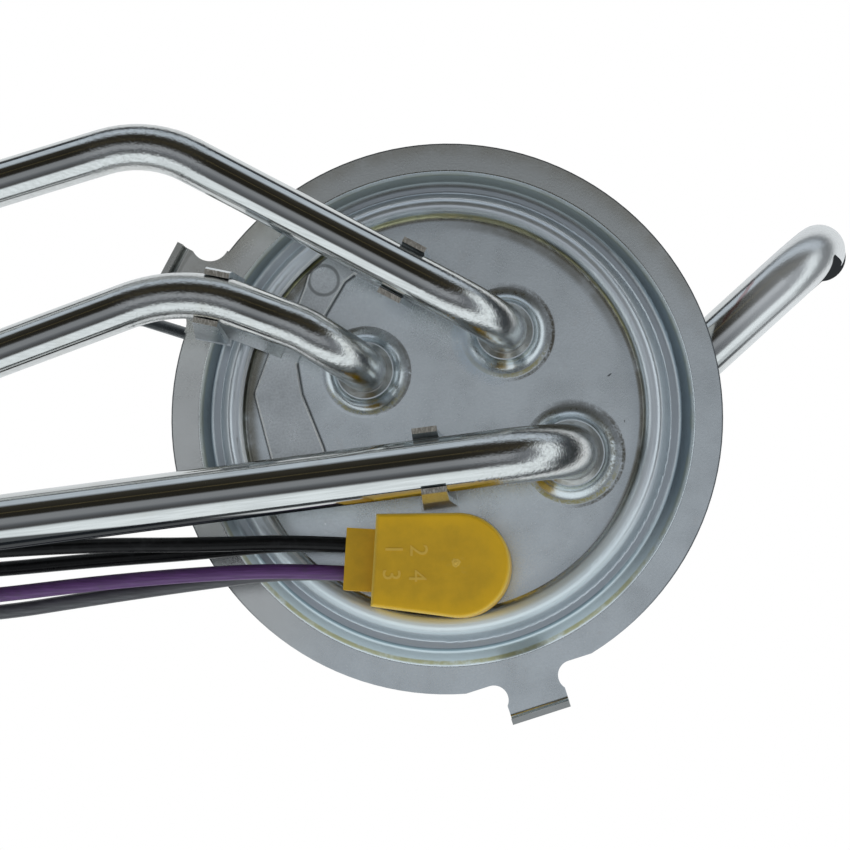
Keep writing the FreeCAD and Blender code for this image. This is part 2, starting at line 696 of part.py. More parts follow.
def new_body(label, base, turn):
    """An empty body named as its node, placed by formulas on the sheet."""
    made = doc.addObject("PartDesign::Body", label)
    made.Label = label
    at = "; ".join(base)
    made.setExpression("Placement", f"placement(vector({at}); rotation(vector(0; 0; 1); {turn}))")
    parts.append(made)
    return made


def new_sketch(body, role, lift):
    """A sketch on one of the body's own planes, lifted along the plane's normal."""
    plane = next(f for f in body.Origin.OriginFeatures if f.Role == role)
    made = body.newObject("Sketcher::SketchObject", "Outline")
    made.AttachmentSupport = [(plane, "")]
    made.MapMode = "FlatFace"
    made.setExpression("AttachmentOffset.Base.z", lift)
    return made


def bind(sketch, formula, kind, *where):
    """A driving constraint whose value is a formula on the sheet."""
    value = float(sketch.evalExpression(formula))
    index = sketch.addConstraint(Sketcher.Constraint(kind, *where, value))
    sketch.setExpression(f"Constraints[{index}]", formula)


def draw_loop(sketch, corners):
    """A closed outline whose corners are pairs of formulas."""
    places = [Vector(*(float(sketch.evalExpression(f)) for f in pair), 0) for pair in corners]
    count = len(places)
    first = sketch.GeometryCount
    for index, place in enumerate(places):
        sketch.addGeometry(Part.LineSegment(place, places[(index + 1) % count]), False)
    for index, (across, along) in enumerate(corners):
        onward = first + (index + 1) % count
        sketch.addConstraint(Sketcher.Constraint("Coincident", first + index, 2, onward, 1))
        bind(sketch, across, "DistanceX", -1, 1, first + index, 1)
        bind(sketch, along, "DistanceY", -1, 1, first + index, 1)


def draw_box(sketch, x_low, x_high, y_low, y_high):
    draw_loop(sketch, [(x_low, y_low), (x_high, y_low), (x_high, y_high), (x_low, y_high)])


def draw_circle(sketch, radius, across="0", along="0"):
    centre = Vector(*(float(sketch.evalExpression(f)) for f in (across, along)), 0)
    value = float(sketch.evalExpression(radius))
    index = sketch.addGeometry(Part.Circle(centre, UP, value), False)
    bind(sketch, radius, "Radius", index)
    bind(sketch, across, "DistanceX", -1, 1, index, 3)
    bind(sketch, along, "DistanceY", -1, 1, index, 3)


def pad(body, sketch, length):
    """Material from a sketch, along its plane's normal."""
    made = body.newObject("PartDesign::Pad", "Pad")
    made.Profile = sketch
    made.setExpression("Length", length)
    sketch.Visibility = False
    doc.recompute()
    return made


def pocket(body, sketch, length, forward=False):
    """A cut from a sketch, against its plane's normal unless it goes forward."""
    made = body.newObject("PartDesign::Pocket", "Pocket")
    made.Profile = sketch
    made.Reversed = forward
    made.setExpression("Length", length)
    sketch.Visibility = False
    doc.recompute()
    return made


def ring_body(label, base, turn, outer, inner, low, length):
    """A plain ring as a body."""
    made = new_body(label, base, turn)
    sketch = new_sketch(made, "XY_Plane", low)
    draw_circle(sketch, outer)
    draw_circle(sketch, inner)
    pad(made, sketch, length)
    return made


# Electrical pass-through

PORT_AT = ("Sizes.port_x", "Sizes.port_y", "0")
PORT_TURN = "Sizes.plug_deg"
PORT_PLACE = Placement(
    Vector(size("port_x"), size("port_y"), 0), Rotation(UP, size("plug_deg")))
UNDER = "(Sizes.disc_height - Sizes.plate_thick)"
SEAT = f"({UNDER} - Sizes.port_seal_thick)"
FLANGE_LOW = f"({SEAT} - Sizes.port_flange_thick)"
PORT_TOP = "(Sizes.disc_height + Sizes.port_rise)"
FLANGE_RADIUS = "(Sizes.port_radius + Sizes.port_flange)"
HALF_PITCH = "(Sizes.pin_pitch / 2)"
FOUR = [(x, y) for x in (-1, 1) for y in (-1, 1)]

port_body = new_body("port_body", PORT_AT, PORT_TURN)
for low, length, radius in (
        (SEAT, f"{PORT_TOP} - {SEAT}", "Sizes.port_radius"),
        (FLANGE_LOW, "Sizes.port_flange_thick", FLANGE_RADIUS),
        (f"{FLANGE_LOW} - Sizes.port_drop", "Sizes.port_drop", "Sizes.port_radius - 0.6")):
    step = new_sketch(port_body, "XY_Plane", low)
    draw_circle(step, radius)
    pad(port_body, step, length)
holes = new_sketch(port_body, "XY_Plane", PORT_TOP)
for x, y in FOUR:
    draw_circle(holes, "Sizes.pin_radius", f"{x} * {HALF_PITCH}", f"{y} * {HALF_PITCH}")
pocket(port_body, holes, f"{PORT_TOP} - {FLANGE_LOW} + Sizes.port_drop")

ring_body("port_seal", PORT_AT, PORT_TURN,
          FLANGE_RADIUS, "Sizes.port_radius", SEAT, "Sizes.port_seal_thick")
ring_body("port_retainer", PORT_AT, PORT_TURN, "Sizes.port_radius + 1.4",
          "Sizes.port_radius", "Sizes.disc_height", "Sizes.retainer_thick")

port_top = size("disc_height") + size("port_rise")
port_foot = (size("disc_height") - size("plate_thick") - size("port_seal_thick")
             - size("port_flange_thick") - size("port_drop"))
half_pitch = size("pin_pitch") / 2
pins = [cylinder(size("pin_radius"), port_foot - size("pin_down"), port_top + size("pin_up"),
                 x * half_pitch, y * half_pitch) for x, y in FOUR]
keep("port_pins", Part.makeCompound(pins), PORT_PLACE)


# Right-angle connector and its contacts

plug = new_body("connector_body", PORT_AT, PORT_TURN)
BASE = "Sizes.plug_base_height"
TALL = "(Sizes.plug_top_height - Sizes.plug_base_height)"
SHIFT = "Sizes.plug_shift"
REACH = "Sizes.plug_reach"
outline = new_sketch(plug, "XY_Plane", BASE)
draw_loop(outline, [
    (f"-{REACH}", f"{SHIFT} - Sizes.plug_base_half"),
    ("-0.4", f"{SHIFT} - Sizes.plug_round_radius + 0.01"),
    ("-0.4", f"{SHIFT} + Sizes.plug_round_radius - 0.01"),
    (f"-{REACH}", f"{SHIFT} + Sizes.plug_base_half"),
])
pad(plug, outline, TALL)
round_end = new_sketch(plug, "XY_Plane", BASE)
draw_circle(round_end, "Sizes.plug_round_radius", "0", SHIFT)
whole = pad(plug, round_end, TALL)
top_edges = [f"Edge{number}" for number, edge in enumerate(whole.Shape.Edges, start=1)
             if edge.BoundBox.ZMin > size("plug_top_height") - 0.01]
softened = plug.newObject("PartDesign::Fillet", "Softened")
softened.Base = (whole, top_edges)
softened.setExpression("Radius", "Sizes.plug_edge")
doc.recompute()

# The neck is drawn in the plane square to the leads, where up is the sketch's second axis.
NECK_MID = "((Sizes.neck_low + Sizes.neck_high) / 2)"
NECK_END = f"(-{REACH} - Sizes.neck_length)"
neck = new_sketch(plug, "YZ_Plane", NECK_END)
draw_box(neck, f"{SHIFT} - Sizes.neck_half", f"{SHIFT} + Sizes.neck_half",
         "Sizes.neck_low", "Sizes.neck_high")
pad(plug, neck, "Sizes.neck_length + 0.5")
lead_holes = new_sketch(plug, "YZ_Plane", NECK_END)
for y in (-1, 1):
    for z in (-1, 1):
        draw_circle(lead_holes, "Sizes.lead_radius + Sizes.lead_gap",
                    f"{SHIFT} + {y} * Sizes.lead_half_y", f"{NECK_MID} + {z} * Sizes.lead_half_z")
pocket(plug, lead_holes, "Sizes.lead_seat", forward=True)

cavity = new_sketch(plug, "XY_Plane", f"{PORT_TOP} + Sizes.plug_gap")
draw_circle(cavity, "Sizes.port_radius + Sizes.plug_gap")
pocket(plug, cavity, "20")
sockets = new_sketch(plug, "XY_Plane", f"{PORT_TOP} + Sizes.plug_gap + Sizes.socket_length")
for x, y in FOUR:
    draw_circle(sockets, "Sizes.pin_radius + Sizes.socket_wall",
                f"{x} * {HALF_PITCH}", f"{y} * {HALF_PITCH}")
pocket(plug, sockets, "Sizes.socket_length + 0.1")

low = port_top + size("plug_gap")
contacts = []
for x, y in FOUR:
    at = (x * half_pitch, y * half_pitch)
    shell = cylinder(size("pin_radius") + size("socket_wall"), low, low + size("socket_length"), *at)
    contacts.append(shell.cut(cylinder(size("pin_radius"), low, port_top + size("pin_up"), *at)))
keep("connector_contacts", Part.makeCompound(contacts), PORT_PLACE)


# Leads and the harness plug that they end in

def free_radii(points):
    """The bend at each corner of a lead, as wide as its shorter neighbour allows."""
    widest = size("lead_bend_widest")
    radii = []
    for before, at, after in zip(points, points[1:], points[2:]):
        shorter = min((at - before).Length, (after - at).Length)
        half = (at - before).getAngle(after - at) / 2
        radii.append(min(0.45 * shorter / math.tan(half), widest))
    return radii


neck_end = -size("plug_reach") - size("neck_length")
neck_middle = (size("neck_low") + size("neck_high")) / 2
tail_seat = size("tail_plug_top") - size("lead_seat")
for label, (across, over, corners) in LEADS.items():
    y = size("plug_shift") + across * size("lead_half_y")
    z = neck_middle + over * size("lead_half_z")
    start = PORT_PLACE.multVec(Vector(neck_end + size("lead_seat"), y, z))
    first = PORT_PLACE.multVec(Vector(neck_end - size("lead_straight"), y, z))
    end = Vector(size("tail_plug_x") - over * size("tail_pitch") / 2,
                 size("tail_plug_y") + across * size("tail_pitch") / 2, tail_seat)
    route = [start, first] + [Vector(*corner) for corner in corners] + [end]
    radii = free_radii(route)
    lead, length = bent_round(route, radii, size("lead_radius"))
    keep(label, lead)
    print(label, "length", round(length, 1), "radii", [round(r, 1) for r in radii],
          "volume by length", round(lead.Volume / (math.pi * size("lead_radius") ** 2), 1))

TAIL_AT = ("Sizes.tail_plug_x", "Sizes.tail_plug_y", "Sizes.tail_plug_top")
tail_seal = new_body("harness_seal", TAIL_AT, "0")
block_of = new_sketch(tail_seal, "XY_Plane", "-Sizes.tail_seal_thick")
draw_box(block_of, "-Sizes.tail_plug_half_x + 0.8", "Sizes.tail_plug_half_x - 0.8",
         "-Sizes.tail_plug_half_y + 0.8", "Sizes.tail_plug_half_y - 0.8")
pad(tail_seal, block_of, "Sizes.tail_seal_thick")
ways = new_sketch(tail_seal, "XY_Plane", "0")
for x, y in FOUR:
    draw_circle(ways, "Sizes.lead_radius + Sizes.lead_gap",
                f"{x} * Sizes.tail_pitch / 2", f"{y} * Sizes.tail_pitch / 2")
pocket(tail_seal, ways, "Sizes.lead_seat")

tail_plug = new_body("harness_plug", TAIL_AT, "0")
shell = new_sketch(tail_plug, "XY_Plane", "-Sizes.tail_seal_thick - Sizes.tail_plug_length")
draw_box(shell, "-Sizes.tail_plug_half_x", "Sizes.tail_plug_half_x",
         "-Sizes.tail_plug_half_y", "Sizes.tail_plug_half_y")
pad(tail_plug, shell, "Sizes.tail_plug_length")
latch = new_sketch(tail_plug, "XY_Plane", "-Sizes.tail_seal_thick - Sizes.tail_plug_length + 3")
draw_box(latch, "-Sizes.tail_plug_half_x - 1.6", "-Sizes.tail_plug_half_x + 0.2", "-2.4", "2.4")
pad(tail_plug, latch, "Sizes.tail_plug_length - 8")
mouths = new_sketch(tail_plug, "XY_Plane", "-Sizes.tail_seal_thick - Sizes.tail_plug_length")
for x, y in FOUR:
    draw_circle(mouths, "Sizes.pin_radius + 0.4",
                f"{x} * Sizes.tail_pitch / 2", f"{y} * Sizes.tail_pitch / 2")
pocket(tail_plug, mouths, "12", forward=True)


# Hanger bracket and the rubber seat for the pump

HANGER_PLACE = Placement(Vector(0, 0, 0), Rotation(UP, size("hanger_deg")))
SENDER_PLACE = Placement(
    Vector(size("pivot_x"), size("pivot_y"), size("pivot_z")), Rotation(UP, size("arm_plan_deg")))
case_back = size("case_front") + size("case_depth")
rivet_z = (size("case_height") + size("ear_height")) / 2


def seat_centre():
    """Middle of the pump's seat, in the hanger bracket's frame."""
    outer = size("pump_radius") + size("seat_wall")
    return Vector(size("web_x") + size("web_bend") + outer + 0.1, size("web_edge") + 10, 0)


def hanger_bracket():
    """The bent strip that carries the pump's seat, with a wing for the sender."""
    thick, inside, face = size("web_thick"), size("web_bend"), size("web_x")
    under = size("disc_height") - size("plate_thick")
    flat_on = HANGER_PLACE.inverse().multVec(
        SENDER_PLACE.multVec(Vector(0, case_back + thick, 0)))
    away = at_angle(1, 180 + size("arm_plan_deg") - size("hanger_deg"))
    corner = flat_on + away * ((face - flat_on.x) / away.x)
    centre = seat_centre()
    outer = size("pump_radius") + size("seat_wall") + 0.5

    strip = sheet_section(
        [(face - size("weld_foot"), under), (face, under), (face, size("foot_depth")),
         (centre.x, size("foot_depth"))], [inside, inside], thick)
    strip.translate(Vector(0, size("web_edge"), 0))
    web = strip.extrude(Vector(0, corner.y - size("web_edge") - 2, 0))
    foot_low = size("foot_depth") - thick
    plate = cylinder(outer, foot_low, size("foot_depth"), centre.x, centre.y)
    rib = block((face - size("web_rib"), face - thick / 2), (size("web_edge"), size("web_edge") + thick),
                (size("foot_depth") + 4, -6))

    half = size("case_height") / 2 + size("ear_height") + 1
    end = flat_on + away * (size("wing_reach"))
    wing = sheet_section(
        [(end.x, end.y), (corner.x, corner.y), (face, corner.y - 8)], [inside], thick)
    wing = wing.extrude(Vector(0, -2 * half, 0))
    wing.Placement = Placement(
        Vector(0, 0, size("pivot_z") - half), Rotation(Vector(1, 0, 0), -90))
    body = fused([web, plate, rib, wing])

    holes = [cylinder(size("seat_hole") + 1, foot_low - 1, size("foot_depth") + 1, centre.x, centre.y)]
    edge = size("weld_foot_edge")
    holes.append(block((face - 30, face - thick), (edge, corner.y + 5), (under - 6, under + 1)))
    body = body.cut(holes)
    body.Placement = HANGER_PLACE
    rivets = [rivet_hole(sign * rivet_z) for sign in (-1, 1)]
    return body.cut(rivets)


def rivet_hole(height):
    """The hole of one sender rivet."""
    made = Part.makeCylinder(
        size("rivet_radius"), 8, Vector(0, case_back - 4, height), Vector(0, 1, 0))
    made.Placement = SENDER_PLACE.multiply(made.Placement)
    return made


keep("hanger_bracket", hanger_bracket())

centre = HANGER_PLACE.multVec(seat_centre())
low = size("foot_depth")
rubber = size("pump_radius") + size("seat_wall")
seat = cylinder(rubber, low, low + size("seat_floor") + size("seat_depth"), centre.x, centre.y)
bowl = cylinder(size("pump_radius"), low + size("seat_floor"), low + 20, centre.x, centre.y)
inlet = cylinder(size("seat_hole"), low - 1, low + 20, centre.x, centre.y)
keep("pump_seat", seat.cut([bowl, inlet]))


# Level sender: case, lid, card and terminals

SENDER_AT = ("Sizes.pivot_x", "Sizes.pivot_y", "Sizes.pivot_z")
SENDER_TURN = "Sizes.arm_plan_deg"
FRONT = "Sizes.case_front"
BACK = "(Sizes.case_front + Sizes.case_depth)"
HALF_X = "(Sizes.case_width / 2)"
HALF_Z = "(Sizes.case_height / 2)"
INNER = "Sizes.case_wall"
SHAFT_BORE = "(Sizes.arm_wire + Sizes.shaft_gap)"

case = new_body("sender_case", SENDER_AT, SENDER_TURN)
ears = new_sketch(case, "XZ_Plane", f"-{BACK}")
draw_box(ears, "-Sizes.ear_half", "Sizes.ear_half",
         f"-{HALF_Z} - Sizes.ear_height", f"{HALF_Z} + Sizes.ear_height")
pad(case, ears, "Sizes.ear_thick")
shell = new_sketch(case, "XZ_Plane", f"-{BACK}")
draw_box(shell, f"-{HALF_X}", HALF_X, f"-{HALF_Z}", HALF_Z)
pad(case, shell, "Sizes.case_depth")
room = new_sketch(case, "XZ_Plane", f"-{FRONT}")
draw_box(room, f"-{HALF_X} + {INNER}", f"{HALF_X} - {INNER}",
         f"-{HALF_Z} + {INNER}", f"{HALF_Z} - {INNER}")
pocket(case, room, f"Sizes.case_depth - {INNER}")
bores = new_sketch(case, "XZ_Plane", f"-{BACK} + 4")
draw_circle(bores, SHAFT_BORE)
pocket(case, bores, "8")
for sign in (-1, 1):
    hole = new_sketch(case, "XZ_Plane", f"-{BACK} + 4")
    draw_circle(hole, "Sizes.rivet_radius", "0", f"{sign} * ({HALF_Z} + Sizes.ear_height / 2)")
    pocket(case, hole, "8")
slots = new_sketch(case, "XY_Plane", f"{HALF_Z} + 1")
for sign in (-1, 1):
    middle = f"{sign} * Sizes.blade_x"
    draw_box(slots, f"{middle} - Sizes.blade_width / 2", f"{middle} + Sizes.blade_width / 2",
             f"{FRONT} + 2", f"{FRONT} + 2 + Sizes.blade_thick")
pocket(case, slots, f"{INNER} + 2")

lid = new_body("sender_lid", SENDER_AT, SENDER_TURN)
cover = new_sketch(lid, "XZ_Plane", f"-{FRONT}")
draw_box(cover, f"-{HALF_X}", HALF_X, f"-{HALF_Z}", HALF_Z)
pad(lid, cover, "Sizes.lid_thick")
pegs = new_sketch(lid, "XZ_Plane", f"-{FRONT}")
OFFSET = "(Sizes.arm_wire + Sizes.stop_radius + Sizes.stop_gap)"
for sign, slope in ((1, "Sizes.arm_drop_deg"), (-1, "(Sizes.arm_drop_deg - Sizes.arm_swing_deg)")):
    draw_circle(
        pegs, "Sizes.stop_radius",
        f"-Sizes.stop_reach * cos({slope} * 1 deg) + {sign} * {OFFSET} * sin({slope} * 1 deg)",
        f"-Sizes.stop_reach * sin({slope} * 1 deg) - {sign} * {OFFSET} * cos({slope} * 1 deg)")
pad(lid, pegs, f"{FRONT} + Sizes.arm_wire + 0.5")
eye = new_sketch(lid, "XZ_Plane", f"-{FRONT} + Sizes.lid_thick")
draw_circle(eye, SHAFT_BORE)
pocket(lid, eye, "Sizes.lid_thick + 1")

floor = case_back - size("case_wall")
card_face = floor - size("card_thick")
half = size("card_width") / 2
card_edge = size("card_top") - size("case_height") / 2
card = block((-half, half), (card_face, floor), (card_edge - size("card_height"), card_edge))
keep("resistor_card", card, SENDER_PLACE)

blades = []
top = size("case_height") / 2
for sign in (-1, 1):
    middle = sign * size("blade_x")
    half = size("blade_width") / 2
    front = size("case_front") + 2
    blades.append(block((middle - half, middle + half), (front, front + size("blade_thick")),
                        (top - size("case_wall") - 1, top - size("case_wall") - 1 + size("blade_length"))))
keep("sender_terminals", Part.makeCompound(blades), SENDER_PLACE)

rivets = []
for sign in (-1, 1):
    head = 0.9
    ear_face = case_back - size("ear_thick")
    wing_face = case_back + size("web_thick")
    spans = ((size("rivet_head"), ear_face - head, ear_face),
             (size("rivet_radius"), ear_face, wing_face),
             (size("rivet_head"), wing_face, wing_face + head))
    rivets.append(fused([
        Part.makeCylinder(radius, end - start, Vector(0, start, sign * rivet_z), Vector(0, 1, 0))
        for radius, start, end in spans]))
keep("sender_rivets", Part.makeCompound(rivets), SENDER_PLACE)


# Float arm, wiper and float, at the lower stop

slope = math.radians(size("arm_drop_deg"))
knee_turn = math.radians(size("arm_knee_deg"))
ALONG = Vector(-math.cos(slope), 0, -math.sin(slope))
SIDEWAYS = Vector(0, -1, 0)
knee = ALONG * size("arm_first")
tip = knee + (ALONG * math.cos(knee_turn) + SIDEWAYS * math.sin(knee_turn)) * size("arm_second")
first_ring = 3.6
float_from = first_ring + size("clip_ring_thick")
float_to = float_from + size("float_length")
last = tip + SIDEWAYS * (float_to + size("clip_ring_thick") + 2)
wire, _ = bent_round(
    [Vector(0, size("shaft_end"), 0), Vector(0, 0, 0), knee, tip, last],
    [size("arm_bend"), size("arm_bend") * 2, size("arm_bend")], size("arm_wire"))
keep("float_arm", wire, SENDER_PLACE)


def on_wire_end(radius, bore, start, end):
    """A ring on the wire's last run."""
    at = tip + SIDEWAYS * start
    length = end - start
    outer = Part.makeCylinder(radius, length, at, SIDEWAYS)
    return outer.cut(Part.makeCylinder(bore, length, at, SIDEWAYS))


keep("float", on_wire_end(
    size("float_radius"), size("arm_wire") + size("float_gap"), float_from, float_to), SENDER_PLACE)
rings = [on_wire_end(size("clip_ring"), size("arm_wire"), start, start + size("clip_ring_thick"))
         for start in (first_ring, float_to)]
keep("float_retainers", Part.makeCompound(rings), SENDER_PLACE)

wiper_face = card_face - size("wiper_gap")
hub = Part.makeCylinder(size("hub_radius"), size("hub_length"),
                        Vector(0, wiper_face - size("hub_length"), 0), Vector(0, 1, 0))
blade = block((-1.4, 1.4), (wiper_face - size("wiper_thick"), wiper_face), (-size("wiper_length"), 0))
blade.rotate(Vector(0, 0, 0), Vector(0, 1, 0), -size("arm_swing_deg") / 2)
shaft = Part.makeCylinder(size("arm_wire"), 20, Vector(0, 0, 0), Vector(0, 1, 0))
keep("wiper", fused([hub, blade]).cut(shaft), SENDER_PLACE)


# Checks and export

os.makedirs("parts", exist_ok=True)
doc.recompute()
for made in doc.Objects:
    bad = [state for state in made.State if state in ("Invalid", "Error")]
    if bad:
        raise RuntimeError(f"{made.Label}: {bad}")
for made in parts:
    if made.Shape.isNull() or not made.Shape.isValid():
        raise RuntimeError(f"{made.Label}: its shape is not valid")
    made.Shape.exportStep(f"parts/{made.Label}.step")
    print(made.Label, round(made.Shape.Volume, 1), len(made.Shape.Solids))
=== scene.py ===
import json
import logging
import math
from dataclasses import dataclass
from enum import Enum
from functools import cached_property

import bmesh
import bpy
from mathutils import Matrix, Vector

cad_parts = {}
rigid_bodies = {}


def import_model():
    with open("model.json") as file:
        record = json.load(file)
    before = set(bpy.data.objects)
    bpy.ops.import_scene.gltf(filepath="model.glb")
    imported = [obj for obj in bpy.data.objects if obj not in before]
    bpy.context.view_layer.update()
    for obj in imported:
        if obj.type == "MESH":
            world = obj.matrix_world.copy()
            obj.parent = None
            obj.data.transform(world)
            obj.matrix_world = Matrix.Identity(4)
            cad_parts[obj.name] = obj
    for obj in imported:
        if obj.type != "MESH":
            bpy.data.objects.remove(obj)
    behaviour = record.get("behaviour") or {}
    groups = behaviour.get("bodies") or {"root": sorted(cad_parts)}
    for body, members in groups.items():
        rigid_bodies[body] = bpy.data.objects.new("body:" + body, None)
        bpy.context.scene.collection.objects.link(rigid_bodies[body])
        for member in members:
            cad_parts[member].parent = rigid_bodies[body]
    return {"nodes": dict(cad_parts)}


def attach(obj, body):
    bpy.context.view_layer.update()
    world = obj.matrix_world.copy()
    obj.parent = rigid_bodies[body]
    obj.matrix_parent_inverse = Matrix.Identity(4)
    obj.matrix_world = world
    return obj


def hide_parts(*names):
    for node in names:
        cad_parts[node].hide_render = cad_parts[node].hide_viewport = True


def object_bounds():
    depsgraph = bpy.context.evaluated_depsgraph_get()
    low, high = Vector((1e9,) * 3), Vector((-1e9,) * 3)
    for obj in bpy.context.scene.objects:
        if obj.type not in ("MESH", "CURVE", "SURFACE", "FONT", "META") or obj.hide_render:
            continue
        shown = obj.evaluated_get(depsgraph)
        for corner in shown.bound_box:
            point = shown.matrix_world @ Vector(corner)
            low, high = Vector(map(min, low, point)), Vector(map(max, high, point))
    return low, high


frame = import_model()
CAD_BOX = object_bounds()

MM = 0.001
log = logging.getLogger("hanger")

Colour = tuple[float, float, float]
Point = tuple[float, float, float]
Spot = tuple[float, float]


class Body(Enum):
    """The body that new pieces ride on."""

    HANGER = "hanger"


class Slot(Enum):
    """The record's material slots named for the new leads; the leads take their finish from FINISHES."""

    OCHRE = "ochre_plastic"
    BLACK = "black_insulation"
    PURPLE = "purple_insulation"
    GREY = "grey_insulation"
    PLUG = "port_plastic"
    CONTACT = "tin_brass"


# Shader maths


class Value:
    """A shader socket that Python's arithmetic works on."""

    def __init__(self, recipe: "Recipe", socket: bpy.types.NodeSocket) -> None:
        """Keep the socket and the recipe that it belongs to."""
        self.recipe = recipe
        self.socket = socket

    def __add__(self, other: "Amount") -> "Value":
        """Sum."""
        return self.recipe.maths("ADD", self, other)

    __radd__ = __add__

    def __mul__(self, other: "Amount") -> "Value":
        """Product."""
        return self.recipe.maths("MULTIPLY", self, other)

    __rmul__ = __mul__

    def __sub__(self, other: "Amount") -> "Value":
        """Difference."""
        return self.recipe.maths("SUBTRACT", self, other)

    def __rsub__(self, other: float) -> "Value":
        """Difference, with the number first."""
        return self.recipe.maths("SUBTRACT", other, self)

    def __truediv__(self, other: "Amount") -> "Value":
        """Quotient."""
        return self.recipe.maths("DIVIDE", self, other)

    def __pow__(self, other: float) -> "Value":
        """Power."""
        return self.recipe.maths("POWER", self, other)

    def __abs__(self) -> "Value":
        """Size without its sign."""
        return self.recipe.maths("ABSOLUTE", self)

    def greater(self, other: "Amount") -> "Value":
        """The larger of two values."""
        return self.recipe.maths("MAXIMUM", self, other)

    def smaller(self, other: "Amount") -> "Value":
        """The smaller of two values."""
        return self.recipe.maths("MINIMUM", self, other)

    def rise(self, low: float, high: float) -> "Value":
        """A smooth mask that goes from 0 at low to 1 at high.

        Args:
            low: the value at which the mask is 0.
            high: the value at which the mask is 1; it may be the smaller one.

        Returns:
            The mask.
        """
        first, last, out = (low, high, (0.0, 1.0)) if low < high else (high, low, (1.0, 0.0))
        made = self.recipe.node(
            "ShaderNodeMapRange", {"interpolation_type": "SMOOTHSTEP"},
            {"Value": self, "From Min": first, "From Max": last, "To Min": out[0], "To Max": out[1]})
        return Value(self.recipe, made.outputs["Result"])

    def band(self, middle: float, half: float, soft: float) -> "Value":
        """A smooth mask that is 1 within half of middle, and falls off over soft."""
        return abs(self - middle).rise(half + soft, half)


Amount = Value | float
Tint = Value | Colour
Triple = tuple[Value, Value, Value]


